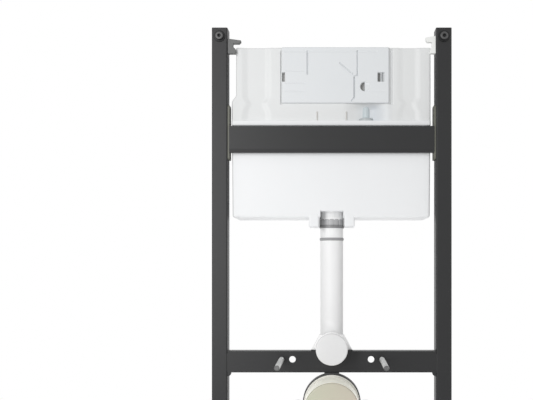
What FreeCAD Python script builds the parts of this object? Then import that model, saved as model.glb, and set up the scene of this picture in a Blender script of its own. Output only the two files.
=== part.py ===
"""Wall hung toilet frame: steel frame, concealed tank, flush pipe and capped waste bend.

Millimetres, +Z up. The floor is z = 0, the uprights' front faces lie in y = 0, and the wall is behind them.
"""
import FreeCAD, Part
import math
import os
import types

import Sketcher

doc = FreeCAD.newDocument("wall_hung_toilet_frame")

# Driving dimensions. Heights count from the floor, depths from the uprights' front faces.
SIZES = (
    # The frame of square tubes
    ("frame_width", "550"),
    ("frame_height", "1120"),
    ("wall_depth", "140"),
    ("upright_side", "36"),
    ("upright_wall", "2.5"),
    ("upright_corner", "3"),
    ("upright_foot_height", "170"),
    ("leg_clearance", "0.25"),
    ("leg_wall", "2.5"),
    ("leg_corner", "2"),
    ("leg_overlap", "200"),
    ("leg_lock_rise", "26"),
    ("leg_lock_radius", "4.5"),
    # The plates that it stands on
    ("foot_width", "90"),
    ("foot_front_reach", "45"),
    ("foot_back_reach", "125"),
    ("foot_thickness", "6"),
    ("foot_corner", "8"),
    ("foot_hole_radius", "6"),
    ("foot_hole_edge", "22"),
    # The bolts that hold it to the wall
    ("wall_bolt_drop", "20"),
    ("wall_bolt_radius", "5"),
    ("wall_bolt_shank_radius", "4.5"),
    ("wall_bolt_shoulder", "1"),
    ("wall_bolt_head_radius", "9"),
    ("wall_bolt_head_height", "6"),
    ("wall_bolt_socket_radius", "3.2"),
    ("wall_bolt_socket_depth", "4"),
    ("wall_washer_radius", "13"),
    ("wall_washer_thickness", "2"),
    ("bolt_clearance", "0.5"),
    # The upper crossbar and the brackets that carry it
    ("upper_bar_gap", "3.6"),
    ("upper_bar_face", "60.5"),
    ("upper_bar_depth", "15"),
    ("bar_sheet", "2.5"),
    ("upper_bar_fold", "8"),
    ("upper_bar_fold_depth", "2"),
    ("bracket_overhang", "16"),
    ("bracket_length", "125"),
    ("bracket_thickness", "4"),
    ("bracket_setback", "3"),
    ("bracket_corner", "5"),
    # The lower crossbar and what the pan hangs on
    ("lower_bar_height", "330"),
    ("lower_bar_face", "49"),
    ("lower_bar_depth", "24"),
    ("lower_bar_gusset", "9"),
    ("lower_bar_top_gusset", "3"),
    ("pan_height", "360"),
    ("stud_spacing", "230"),
    ("stud_radius", "6"),
    ("stud_reach", "140"),
    ("stud_tail", "25"),
    ("stud_tail_radius", "5.5"),
    ("stud_shoulder", "1"),
    ("stud_tip", "1.5"),
    ("pan_hole_spacing", "180"),
    ("pan_hole_radius", "7.5"),
    ("lug_rise", "3"),
    ("lug_width", "14"),
    ("lug_centre", "41"),
    # The tank: a white tub below, a fluted shell above
    ("tank_left_gap", "7.8"),
    ("tank_right_gap", "10.5"),
    ("tank_depth", "110"),
    ("tank_drop", "41.5"),
    ("shell_height", "169"),
    ("tub_height", "213.5"),
    ("tank_rim_thickness", "11"),
    ("tank_rim_overhang", "4"),
    ("tub_draft", "2"),
    ("tank_wall", "6"),
    ("tub_wall", "4.5"),
    ("tub_floor", "31"),
    ("tub_corner", "14"),
    ("tub_bottom_corner", "10"),
    ("shell_corner", "12"),
    ("shell_top_corner", "6"),
    ("shell_front_wall", "46"),
    ("shell_neck", "10"),
    ("shell_flare_height", "48"),
    ("shell_flare_rise", "23"),
    ("flute_inset", "26.5"),
    ("left_flute_width", "61"),
    ("right_flute_width", "48"),
    ("flute_depth", "9"),
    ("flute_slope", "3"),
    ("flute_top_gap", "10"),
    ("flute_foot_gap", "6"),
    ("flute_pinch", "11"),
    ("flute_pinch_height", "40"),
    ("flute_pinch_rise", "17"),
    ("flute_pinch_fall", "28"),
    ("hatch_lap", "22"),
    ("hatch_right_lap", "70"),
    ("shell_rib_spacing", "69"),
    ("shell_rib_width", "3"),
    ("shell_rib_height", "21"),
    ("shell_rib_depth", "3"),
    # The stub in its recess
    ("stub_across", "80"),
    ("stub_recess_width", "62"),
    ("stub_recess_height", "38"),
    ("stub_recess_depth", "38"),
    ("stub_radius", "9"),
    ("stub_height", "34"),
    ("stub_flange_radius", "17"),
    ("stub_flange_thickness", "7"),
    ("stub_bore_radius", "5"),
    # The inspection cover
    ("cover_left_margin", "116"),
    ("cover_right_margin", "96.5"),
    ("cover_rise", "40"),
    ("cover_thickness", "5"),
    ("cover_corner", "3"),
    ("cover_line_width", "2"),
    ("cover_line_depth", "1.5"),
    ("cover_top_line", "10"),
    ("cover_left_line", "60"),
    ("cover_left_line_foot", "67"),
    ("cover_rung_low", "26"),
    ("cover_rung_middle", "45"),
    ("cover_rung_high", "73"),
    ("cover_right_line", "73"),
    ("cover_right_line_foot", "65"),
    ("cover_jog", "6"),
    ("cover_jog_foot", "13"),
    ("cover_toe", "6"),
    ("cover_toe_drop", "8"),
    ("cover_brace_length", "32"),
    ("cover_brace_rise", "27"),
    ("cover_slot_height", "25"),
    ("cover_slot_rise", "47.5"),
    ("cover_left_slot_width", "8"),
    ("cover_right_slot_width", "17"),
    ("cover_right_slot_inset", "9"),
    ("cover_hole_width", "16"),
    ("cover_hole_height", "24"),
    ("cover_hole_inset", "50"),
    ("cover_hole_rise", "26"),
    ("cover_gap_width", "8"),
    ("cover_gap_depth", "10"),
    # The clips beside the tank's top corners
    ("clip_setback", "3.7"),
    ("clip_slant", "4"),
    ("left_clip_rise", "17.5"),
    ("left_clip_sheet", "12.5"),
    ("left_clip_reach", "30.5"),
    ("left_clip_prong", "14.5"),
    ("left_clip_gap", "8"),
    ("left_clip_foot", "16"),
    ("left_clip_foot_reach", "21.5"),
    ("right_clip_rise", "24"),
    ("right_clip_sheet", "8.5"),
    ("right_clip_reach", "23"),
    ("right_clip_prong", "14.5"),
    ("right_clip_gap", "12"),
    ("right_clip_foot", "14"),
    ("right_clip_foot_reach", "13"),
    # The flush pipe from the tank to the pan
    ("flush_depth", "70"),
    ("flush_height", "390"),
    ("flush_radius", "27"),
    ("flush_wall", "3"),
    ("flush_bend_radius", "58"),
    ("flush_reach", "58"),
    ("flush_insertion", "3"),
    ("outlet_gasket_wall", "7"),
    ("flush_cap_radius", "34"),
    ("flush_cap_face", "7"),
    ("flush_cap_skirt", "22"),
    ("flush_cap_wall", "3"),
    ("flush_cap_edge", "2"),
    ("outlet_nut_radius", "31"),
    ("outlet_nut_height", "22"),
    ("outlet_nut_grips", "14"),
    ("outlet_grip_width", "5"),
    ("outlet_grip_depth", "1.2"),
    ("outlet_tab_width", "22"),
    ("outlet_tab_height", "20"),
    ("outlet_tab_depth", "50"),
    ("outlet_notch_height", "16"),
    ("flush_seal_drop", "48"),
    ("flush_seal_thickness", "7"),
    ("flush_seal_wall", "1.5"),
    ("holder_base", "96"),
    ("holder_top", "56"),
    ("holder_rise", "37"),
    ("holder_thickness", "14"),
    ("holder_wall", "5"),
    ("fit_clearance", "0.2"),
    # The waste bend, its clamp and its cap
    ("waste_height", "262"),
    ("waste_radius", "55"),
    ("waste_wall", "5"),
    ("waste_bend_radius", "60"),
    ("waste_depth", "77"),
    ("waste_reach", "92"),
    ("waste_foot_height", "70"),
    ("clamp_wall", "11"),
    ("clamp_width", "24"),
    ("clamp_front_reach", "10"),
    ("clamp_lug_width", "34"),
    ("clamp_ear_reach", "22"),
    ("clamp_ear_height", "26"),
    ("clamp_split", "4"),
    ("clamp_split_drop", "14"),
    ("clamp_bolt_radius", "4.5"),
    ("cap_face", "6"),
    ("cap_wall", "5"),
    ("cap_skirt", "78"),
    ("cap_edge", "3"),
)

sheet = doc.addObject("Spreadsheet::Sheet", "sizes")
for row, (alias, amount) in enumerate(SIZES, start=1):
    sheet.set("A%d" % row, alias)
    sheet.set("B%d" % row, amount)
    sheet.setAlias("B%d" % row, alias)
doc.recompute()


class Size:
    """A length worked out from the sheet: the formula that binds it, and its value now."""

    def __init__(self, formula, value):
        self.formula = formula
        self.value = value

    @staticmethod
    def of(other):
        """Any number or Size as a Size."""
        return other if isinstance(other, Size) else Size("(%s)" % other, float(other))

    def __add__(self, other):
        other = Size.of(other)
        return Size("(%s + %s)" % (self.formula, other.formula), self.value + other.value)

    def __sub__(self, other):
        other = Size.of(other)
        return Size("(%s - %s)" % (self.formula, other.formula), self.value - other.value)

    def __mul__(self, other):
        other = Size.of(other)
        return Size("(%s * %s)" % (self.formula, other.formula), self.value * other.value)

    def __truediv__(self, other):
        other = Size.of(other)
        return Size("(%s / %s)" % (self.formula, other.formula), self.value / other.value)

    def __neg__(self):
        return Size("(0 - %s)" % self.formula, -self.value)

    __radd__ = __add__
    __rmul__ = __mul__

    def __rsub__(self, other):
        return Size.of(other) - self


dim = types.SimpleNamespace(**{
    alias: Size("sizes." + alias, float(sheet.get(alias))) for alias, amount in SIZES
})
pieces = []


def bind(target, name, length):
    """Tie one property of an object to the sheet."""
    target.setExpression(name, Size.of(length).formula)


def piece(label, kind="PartDesign::Body"):
    """A named sub-part of the frame."""
    made = doc.addObject(kind, label)
    made.Label = label
    pieces.append(made)
    return made


def place(made, x=0, y=0, z=0):
    """Tie the sub-part's Placement to the sheet."""
    for axis, length in (("x", x), ("y", y), ("z", z)):
        bind(made, "Placement.Base." + axis, length)


def sketch_on(body, plane, offset=0):
    """A sketch on one of the body's own origin planes, moved along the axis across that plane."""
    sketch = body.newObject("Sketcher::SketchObject", "profile")
    support = next(item for item in body.Origin.OriginFeatures if item.Role == plane)
    sketch.AttachmentSupport = (support, "")
    sketch.MapMode = "FlatFace"
    # The XZ plane looks along -Y, so its offset counts backwards.
    along = -Size.of(offset) if plane == "XZ_Plane" else Size.of(offset)
    bind(sketch, "AttachmentOffset.Base.z", along)
    return sketch


def tie_point(sketch, edge, end, corner):
    """Tie one end, or the centre, of a sketch edge to its place across and up."""
    for kind, length in (("DistanceX", corner[0]), ("DistanceY", corner[1])):
        length = Size.of(length)
        number = sketch.addConstraint(Sketcher.Constraint(kind, -1, 1, edge, end, length.value))
        bind(sketch, "Constraints[%d]" % number, length)


def tie_radius(sketch, edge, radius):
    """Tie the radius of a circle or an arc."""
    number = sketch.addConstraint(Sketcher.Constraint("Radius", edge, radius.value))
    bind(sketch, "Constraints[%d]" % number, radius)


def add_edge(sketch, start, finish, radius, turn):
    """A straight edge, or an arc that turns left (1) or right (-1); gives its number and its ends."""
    if radius is None:
        return sketch.addGeometry(Part.LineSegment(start, finish)), 1, 2
    chord = finish - start
    rise = math.sqrt(max(radius.value ** 2 - (chord.Length / 2) ** 2, 0))
    left = FreeCAD.Vector(-chord.y, chord.x, 0) / chord.Length
    centre = start + chord / 2 + left * rise * turn
    ends = (start, finish) if turn > 0 else (finish, start)
    angles = [math.atan2(end.y - centre.y, end.x - centre.x) for end in ends]
    whole = Part.Circle(centre, FreeCAD.Vector(0, 0, 1), radius.value)
    edge = sketch.addGeometry(Part.ArcOfCircle(whole, angles[0], angles[1]))
    tie_radius(sketch, edge, radius)
    return (edge, 1, 2) if turn > 0 else (edge, 2, 1)


def outline(sketch, corners, closed=True):
    """Edges from corner to corner: (across, up), or (across, up, radius, turn) where an arc leaves it."""
    points = [FreeCAD.Vector(Size.of(c[0]).value, Size.of(c[1]).value, 0) for c in corners]
    count = len(corners) if closed else len(corners) - 1
    edges = []
    for index in range(count):
        radius, turn = corners[index][2:] if len(corners[index]) > 2 else (None, 0)
        following = points[(index + 1) % len(points)]
        edges.append(add_edge(sketch, points[index], following, radius, turn))
    for index, (edge, start, finish) in enumerate(edges):
        tie_point(sketch, edge, start, corners[index])
        if index or closed:
            before, before_start, before_finish = edges[index - 1]
            sketch.addConstraint(Sketcher.Constraint("Coincident", before, before_finish, edge, start))
    if not closed:
        tie_point(sketch, edges[-1][0], edges[-1][2], corners[-1])


def rectangle(sketch, left, low, right, high):
    """A closed rectangle between two opposite corners."""
    outline(sketch, [(left, low), (right, low), (right, high), (left, high)])


def circle(sketch, across, up, radius):
    """A circle tied by its centre and radius."""
    radius = Size.of(radius)
    middle = FreeCAD.Vector(Size.of(across).value, Size.of(up).value, 0)
    edge = sketch.addGeometry(Part.Circle(middle, FreeCAD.Vector(0, 0, 1), radius.value))
    tie_point(sketch, edge, 3, (across, up))
    tie_radius(sketch, edge, radius)


def faces_forward(sketch):
    """True where the sketch's own normal points along a positive axis."""
    return sketch.AttachmentSupport[0][0].Role != "XZ_Plane"


def settle(feature):
    """Work the feature out now, and stop where it failed."""
    doc.recompute()
    if "Invalid" in feature.State or feature.Shape.isNull():
        raise RuntimeError("%s of %s failed" % (feature.Name, feature.getParentGeoFeatureGroup().Label))
    return feature


def pad(body, sketch, length):
    """Raise a sketch towards +X, +Y or +Z."""
    feature = body.newObject("PartDesign::Pad", "raise")
    feature.Profile = sketch
    feature.Reversed = not faces_forward(sketch)
    bind(feature, "Length", length)
    return settle(feature)


def pocket(body, sketch, length):
    """Cut a sketch towards +X, +Y or +Z, and make sure that it took material away."""
    before = body.Shape.Volume
    feature = body.newObject("PartDesign::Pocket", "cut")
    feature.Profile = sketch
    feature.Reversed = faces_forward(sketch)
    bind(feature, "Length", length)
    settle(feature)
    if body.Shape.Volume >= before:
        raise RuntimeError("a cut in %s takes nothing away" % body.Label)
    return feature


def revolve(body, sketch, axis):
    """Turn a sketch right round its own horizontal (H_Axis) or vertical (V_Axis) axis."""
    feature = body.newObject("PartDesign::Revolution", "turn")
    feature.Profile = sketch
    feature.ReferenceAxis = (sketch, [axis])
    feature.Angle = 360
    return settle(feature)


def round_edges(body, radius, wanted):
    """Round the edges of the body's last feature that the test picks."""
    base = body.Tip
    names = ["Edge%d" % number for number, edge in enumerate(base.Shape.Edges, start=1) if wanted(edge)]
    feature = body.newObject("PartDesign::Fillet", "round")
    feature.Base = (base, names)
    bind(feature, "Radius", radius)
    return settle(feature)


def runs_along(axis):
    """A test for straight edges that run along one axis, given as a letter."""

    def test(edge):
        return isinstance(edge.Curve, Part.Line) and abs(getattr(edge.Curve.Direction, axis)) > 0.999

    return test


half_width = dim.frame_width / 2
inner_face = half_width - dim.upright_side
upright_centre = half_width - dim.upright_side / 2
wall_bolt_height = dim.frame_height - dim.wall_bolt_drop
tank_front = dim.upper_bar_depth
tank_back = tank_front + dim.tank_depth
tank_top = dim.frame_height - dim.tank_drop
tank_rim_top = tank_top - dim.shell_height
tank_rim_low = tank_rim_top - dim.tank_rim_thickness
tank_bottom = tank_rim_low - dim.tub_height
tank_left = dim.tank_left_gap - inner_face
tank_right = inner_face - dim.tank_right_gap
upper_bar_high = tank_rim_low - dim.upper_bar_gap
upper_bar_low = upper_bar_high - dim.upper_bar_face
cover_left = tank_left + dim.cover_left_margin
cover_right = tank_right - dim.cover_right_margin
cover_front = tank_front - dim.cover_thickness
cover_low = tank_rim_top + dim.cover_rise
SIDES = (("left", -1), ("right", 1))


def square_tube(label, side, wall, corner, low, high):
    """An upright length of square tube about its own axis, with rounded outer edges."""
    body = piece(label)
    section = sketch_on(body, "XY_Plane", low)
    rectangle(section, -side / 2, -side / 2, side / 2, side / 2)
    pad(body, section, high - low)
    round_edges(body, corner, runs_along("z"))
    inside = side / 2 - wall
    bore = sketch_on(body, "XY_Plane", low)
    rectangle(bore, -inside, -inside, inside, inside)
    pocket(body, bore, high - low)
    return body


def make_upright(side, sign):
    """Outer tube of one side, drilled through for the wall bolt and in front for the leg's lock screw."""
    body = square_tube(side + "_upright", dim.upright_side, dim.upright_wall, dim.upright_corner,
                       dim.upright_foot_height, dim.frame_height)
    hole = sketch_on(body, "XZ_Plane", -dim.upright_side / 2)
    circle(hole, 0, wall_bolt_height, dim.wall_bolt_radius + dim.bolt_clearance)
    pocket(body, hole, dim.upright_side)
    lock = sketch_on(body, "XZ_Plane", -dim.upright_side / 2)
    circle(lock, 0, dim.upright_foot_height + dim.leg_lock_rise, dim.leg_lock_radius)
    pocket(body, lock, dim.upright_wall)
    place(body, sign * upright_centre, dim.upright_side / 2)


def make_leg(side, sign):
    """Inner tube that slides in the upright and stands on the foot plate."""
    across = dim.upright_side - (dim.upright_wall + dim.leg_clearance) * 2
    body = square_tube(side + "_leg", across, dim.leg_wall, dim.leg_corner,
                       dim.foot_thickness, dim.upright_foot_height + dim.leg_overlap)
    place(body, sign * upright_centre, dim.upright_side / 2)


def make_foot_plate(side, sign):
    """Floor plate, flush with the upright's outer face, with a bolt hole at each end."""
    body = piece(side + "_foot_plate")
    plate = sketch_on(body, "XY_Plane")
    rectangle(plate, -dim.foot_width / 2, -dim.foot_front_reach, dim.foot_width / 2, dim.foot_back_reach)
    pad(body, plate, dim.foot_thickness)
    round_edges(body, dim.foot_corner, runs_along("z"))
    holes = sketch_on(body, "XY_Plane")
    circle(holes, 0, dim.foot_hole_edge - dim.foot_front_reach, dim.foot_hole_radius)
    circle(holes, 0, dim.foot_back_reach - dim.foot_hole_edge, dim.foot_hole_radius)
    pocket(body, holes, dim.foot_thickness)
    place(body, sign * (half_width - dim.foot_width / 2))


def make_wall_bolt(side, sign):
    """Round-headed bolt with a washer, a plain shank in the upright and a thread's outer size behind it."""
    body = piece(side + "_wall_bolt")
    head_front = -dim.wall_washer_thickness - dim.wall_bolt_head_height
    shoulder = dim.upright_side + dim.wall_bolt_shoulder
    rod_end = dim.wall_depth
    profile = sketch_on(body, "YZ_Plane")
    outline(profile, [
        (head_front + dim.wall_bolt_socket_depth, 0),
        (head_front + dim.wall_bolt_socket_depth, dim.wall_bolt_socket_radius),
        (head_front, dim.wall_bolt_socket_radius),
        (head_front, dim.wall_bolt_head_radius),
        (-dim.wall_washer_thickness, dim.wall_bolt_head_radius),
        (-dim.wall_washer_thickness, dim.wall_washer_radius),
        (0, dim.wall_washer_radius),
        (0, dim.wall_bolt_shank_radius),
        (shoulder, dim.wall_bolt_shank_radius),
        (shoulder, dim.wall_bolt_radius),
        (rod_end, dim.wall_bolt_radius),
        (rod_end, 0),
    ])
    revolve(body, profile, "H_Axis")
    place(body, sign * upright_centre, 0, wall_bolt_height)


def make_upper_crossbar():
    """Folded channel, open at the back, whose face has a shallow fold along its lower edge."""
    body = piece("upper_crossbar")
    low = upper_bar_low
    high = upper_bar_high
    reach = inner_face - dim.bracket_thickness
    profile = sketch_on(body, "YZ_Plane", -reach)
    outline(profile, [
        (0, low + dim.upper_bar_fold),
        (dim.upper_bar_fold_depth, low),
        (dim.upper_bar_depth, low),
        (dim.upper_bar_depth, low + dim.bar_sheet),
        (dim.upper_bar_fold_depth + dim.bar_sheet, low + dim.bar_sheet),
        (dim.bar_sheet, low + dim.upper_bar_fold),
        (dim.bar_sheet, high - dim.bar_sheet),
        (dim.upper_bar_depth, high - dim.bar_sheet),
        (dim.upper_bar_depth, high),
        (0, high),
    ])
    pad(body, profile, reach * 2)
    place(body)


def make_crossbar_bracket(side, sign):
    """Plate welded to the upright's inner face, that the upper crossbar ends on."""
    body = piece(side + "_crossbar_bracket")
    plate = sketch_on(body, "YZ_Plane", -dim.bracket_thickness / 2)
    rectangle(plate, dim.bracket_setback, 0, dim.upright_side - dim.bracket_setback, dim.bracket_length)
    pad(body, plate, dim.bracket_thickness)
    round_edges(body, dim.bracket_corner, runs_along("x"))
    place(body, sign * (inner_face - dim.bracket_thickness / 2), 0, upper_bar_low - dim.bracket_overhang)


def make_lower_crossbar():
    """Channel whose face widens in rounded corners at the uprights, with a notch for the flush pipe."""
    body = piece("lower_crossbar")
    low = dim.lower_bar_height
    high = low + dim.lower_bar_face
    gusset = dim.lower_bar_gusset
    near = inner_face - gusset
    top_gusset = dim.lower_bar_top_gusset
    top_near = inner_face - top_gusset
    lug_out = dim.lug_centre + dim.lug_width / 2
    lug_in = dim.lug_centre - dim.lug_width / 2
    lug_top = high + dim.lug_rise
    face = sketch_on(body, "XZ_Plane")
    outline(face, [
        (-inner_face, low - gusset, gusset, 1),
        (-near, low),
        (near, low, gusset, 1),
        (inner_face, low - gusset),
        (inner_face, high + top_gusset, top_gusset, 1),
        (top_near, high),
        (lug_out, high),
        (lug_out, lug_top),
        (lug_in, lug_top),
        (lug_in, high),
        (-lug_in, high),
        (-lug_in, lug_top),
        (-lug_out, lug_top),
        (-lug_out, high),
        (-top_near, high, top_gusset, 1),
        (-inner_face, high + top_gusset),
    ])
    pad(body, face, dim.bar_sheet)
    flanges = sketch_on(body, "XZ_Plane", dim.bar_sheet)
    rectangle(flanges, -inner_face, low, inner_face, low + dim.bar_sheet)
    rectangle(flanges, -inner_face, high - dim.bar_sheet, inner_face, high)
    pad(body, flanges, dim.lower_bar_depth - dim.bar_sheet)
    notch = sketch_on(body, "XZ_Plane")
    notch_radius = dim.flush_radius + dim.holder_wall + dim.fit_clearance * 2
    outline(notch, [
        (-notch_radius, dim.flush_height, notch_radius, 1),
        (0, dim.flush_height - notch_radius, notch_radius, 1),
        (notch_radius, dim.flush_height),
        (notch_radius, lug_top + top_gusset),
        (-notch_radius, lug_top + top_gusset),
    ])
    pocket(body, notch, dim.lower_bar_depth)
    holes = sketch_on(body, "XZ_Plane")
    for side, sign in SIDES:
        circle(holes, sign * dim.pan_hole_spacing / 2, dim.pan_height, dim.pan_hole_radius)
        circle(holes, sign * dim.stud_spacing / 2, dim.pan_height, dim.stud_tail_radius + dim.fit_clearance)
    pocket(body, holes, dim.bar_sheet)
    place(body)


def make_pan_stud(side, sign):
    """Plain core of the threaded rod that the pan hangs on: a chamfered tip, a shank and a thinner tail."""
    body = piece(side + "_pan_stud")
    tip = -dim.stud_reach
    profile = sketch_on(body, "YZ_Plane")
    outline(profile, [
        (tip, 0),
        (tip, dim.stud_radius - dim.stud_tip),
        (tip + dim.stud_tip, dim.stud_radius),
        (-dim.stud_shoulder, dim.stud_radius),
        (-dim.stud_shoulder, dim.stud_tail_radius),
        (dim.stud_tail, dim.stud_tail_radius),
        (dim.stud_tail, 0),
    ])
    revolve(body, profile, "H_Axis")
    place(body, sign * dim.stud_spacing / 2, 0, dim.pan_height)


def make_tank_upper():
    """Fluted moulded shell, open below, with the inspection opening and the stub's recess in its front."""
    body = piece("tank_upper")
    flare = tank_rim_top + dim.shell_flare_height
    neck = tank_left + dim.shell_neck
    front = sketch_on(body, "XZ_Plane", tank_front)
    outline(front, [
        (tank_left, tank_rim_top),
        (tank_right, tank_rim_top),
        (tank_right, tank_top),
        (neck, tank_top),
        (neck, flare + dim.shell_flare_rise),
        (tank_left, flare),
    ])
    pad(body, front, dim.tank_depth)
    round_edges(body, dim.shell_corner,
                lambda edge: edge.BoundBox.YLength < 1 and edge.BoundBox.ZLength > 1)
    round_edges(body, dim.shell_top_corner, lambda edge: edge.BoundBox.ZMin > tank_top.value - 1)
    cut_flute(body, tank_left + dim.flute_inset, tank_left + dim.flute_inset + dim.left_flute_width)
    cut_flute(body, tank_right - dim.flute_inset - dim.right_flute_width, tank_right - dim.flute_inset)
    room = sketch_on(body, "XY_Plane", tank_rim_top)
    rectangle(room, neck + dim.tank_wall, tank_front + dim.shell_front_wall,
              tank_right - dim.tank_wall, tank_back - dim.tank_wall)
    pocket(body, room, dim.shell_height - dim.tank_wall)
    hatch = sketch_on(body, "XZ_Plane", tank_front)
    rectangle(hatch, cover_left + dim.hatch_lap, cover_low + dim.hatch_lap,
              cover_right - dim.hatch_right_lap, tank_top - dim.hatch_lap)
    pocket(body, hatch, dim.shell_front_wall)
    gap = sketch_on(body, "XZ_Plane", tank_front)
    rectangle(gap, cover_right, cover_low, cover_right + dim.cover_gap_width, tank_top - dim.shell_top_corner)
    pocket(body, gap, dim.cover_gap_depth)
    recess = sketch_on(body, "XZ_Plane", tank_front)
    rectangle(recess, dim.stub_across - dim.stub_recess_width / 2, tank_rim_top,
              dim.stub_across + dim.stub_recess_width / 2, tank_rim_top + dim.stub_recess_height)
    pocket(body, recess, dim.stub_recess_depth)
    ribs = sketch_on(body, "XZ_Plane", tank_front - dim.shell_rib_depth)
    for side, sign in SIDES:
        middle = sign * dim.shell_rib_spacing / 2
        rectangle(ribs, middle - dim.shell_rib_width / 2, tank_rim_top,
                  middle + dim.shell_rib_width / 2, tank_rim_top + dim.shell_rib_height)
    pad(body, ribs, dim.shell_rib_depth)
    place(body)


def flute_profile(body, left, right, depth, inset):
    """Outline of a flute at one depth: a tall slot that pinches in near its foot."""
    near = left + inset
    far = right - inset
    low = tank_rim_top + dim.flute_foot_gap + inset
    high = tank_top - dim.flute_top_gap - inset
    pinch = tank_rim_top + dim.flute_pinch_height
    profile = sketch_on(body, "XZ_Plane", tank_front + depth)
    outline(profile, [
        (near, low),
        (far, low),
        (far, pinch - dim.flute_pinch_fall),
        (far - dim.flute_pinch, pinch),
        (far, pinch + dim.flute_pinch_rise),
        (far, high),
        (near, high),
        (near, pinch + dim.flute_pinch_rise),
        (near + dim.flute_pinch, pinch),
        (near, pinch - dim.flute_pinch_fall),
    ])
    return profile


def cut_flute(body, left, right):
    """Sink one flute with sloping walls into the shell's front."""
    before = body.Shape.Volume
    feature = body.newObject("PartDesign::SubtractiveLoft", "flute")
    feature.Profile = flute_profile(body, left, right, Size.of(0), Size.of(0))
    feature.Sections = [flute_profile(body, left, right, dim.flute_depth, dim.flute_slope)]
    feature.Ruled = True
    settle(feature)
    if body.Shape.Volume >= before:
        raise RuntimeError("a flute takes nothing away")


def make_tank_lower():
    """White tub with a drafted body, a rim, a notch over the outlet and a tab on each side of it."""
    body = piece("tank_lower")
    front = sketch_on(body, "XZ_Plane", tank_front)
    outline(front, [
        (tank_left + dim.tub_draft, tank_bottom),
        (tank_right - dim.tub_draft, tank_bottom),
        (tank_right, tank_rim_low),
        (tank_left, tank_rim_low),
    ])
    pad(body, front, dim.tank_depth)
    middle = (tank_bottom.value + tank_rim_low.value) / 2
    round_edges(body, dim.tub_corner,
                lambda edge: edge.BoundBox.ZMin < middle and edge.BoundBox.ZMax > middle)
    round_edges(body, dim.tub_bottom_corner, lambda edge: edge.BoundBox.ZMax < middle)
    rim = sketch_on(body, "XY_Plane", tank_rim_low)
    rectangle(rim, tank_left, tank_front - dim.tank_rim_overhang,
              tank_right, tank_back + dim.tank_rim_overhang)
    pad(body, rim, dim.tank_rim_thickness)
    floor_top = tank_bottom + dim.tub_floor
    room = sketch_on(body, "XY_Plane", floor_top)
    rectangle(room, tank_left + dim.tub_draft + dim.tub_wall, tank_front + dim.tub_wall,
              tank_right - dim.tub_draft - dim.tub_wall, tank_back - dim.tub_wall)
    pocket(body, room, tank_rim_top - floor_top)
    tabs = sketch_on(body, "XY_Plane", tank_bottom - dim.outlet_tab_height)
    for side, sign in SIDES:
        near = sign * (dim.outlet_nut_radius + dim.fit_clearance)
        rectangle(tabs, near, dim.flush_depth - dim.outlet_tab_depth / 2,
                  near + sign * dim.outlet_tab_width, dim.flush_depth + dim.outlet_tab_depth / 2)
    pad(body, tabs, dim.outlet_tab_height)
    bore = sketch_on(body, "XY_Plane", tank_bottom)
    circle(bore, 0, dim.flush_depth, dim.flush_radius + dim.fit_clearance)
    pocket(body, bore, dim.tub_floor)
    notch = sketch_on(body, "XZ_Plane", tank_front)
    rectangle(notch, -dim.flush_radius, tank_bottom,
              dim.flush_radius, tank_bottom + dim.outlet_notch_height)
    pocket(body, notch, dim.flush_depth - tank_front)
    place(body)


def make_inlet_stub():
    """Small flanged column with a bore, standing on the rim in the shell's recess."""
    body = piece("inlet_stub")
    profile = sketch_on(body, "YZ_Plane")
    outline(profile, [
        (dim.stub_bore_radius, 0),
        (dim.stub_flange_radius, 0),
        (dim.stub_flange_radius, dim.stub_flange_thickness),
        (dim.stub_radius, dim.stub_flange_thickness),
        (dim.stub_radius, dim.stub_height),
        (dim.stub_bore_radius, dim.stub_height),
    ])
    revolve(body, profile, "V_Axis")
    place(body, dim.stub_across, tank_front + dim.stub_recess_depth / 2, tank_rim_top)


def make_inspection_cover():
    """Plate over the inspection opening, with break lines, two slots and a D-shaped hole."""
    body = piece("inspection_cover")
    plate = sketch_on(body, "XZ_Plane", cover_front)
    rectangle(plate, cover_left, cover_low, cover_right, tank_top)
    pad(body, plate, dim.cover_thickness)
    round_edges(body, dim.cover_corner, runs_along("y"))
    slot_low = cover_low + dim.cover_slot_rise
    slot_high = slot_low + dim.cover_slot_height
    right_slot = cover_right - dim.cover_right_slot_inset
    windows = sketch_on(body, "XZ_Plane", cover_front)
    rectangle(windows, cover_left, slot_low, cover_left + dim.cover_left_slot_width, slot_high)
    rectangle(windows, right_slot - dim.cover_right_slot_width, slot_low, right_slot, slot_high)
    hole_right = cover_right - dim.cover_hole_inset
    hole_low = cover_low + dim.cover_hole_rise
    bow = dim.cover_hole_height / 2
    shoulder = hole_right - dim.cover_hole_width + bow
    outline(windows, [
        (hole_right, hole_low),
        (hole_right, hole_low + dim.cover_hole_height),
        (shoulder, hole_low + dim.cover_hole_height, bow, 1),
        (shoulder - bow, hole_low + bow, bow, 1),
        (shoulder, hole_low),
    ])
    pocket(body, windows, dim.cover_thickness)
    score_cover(body)
    place(body)


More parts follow.
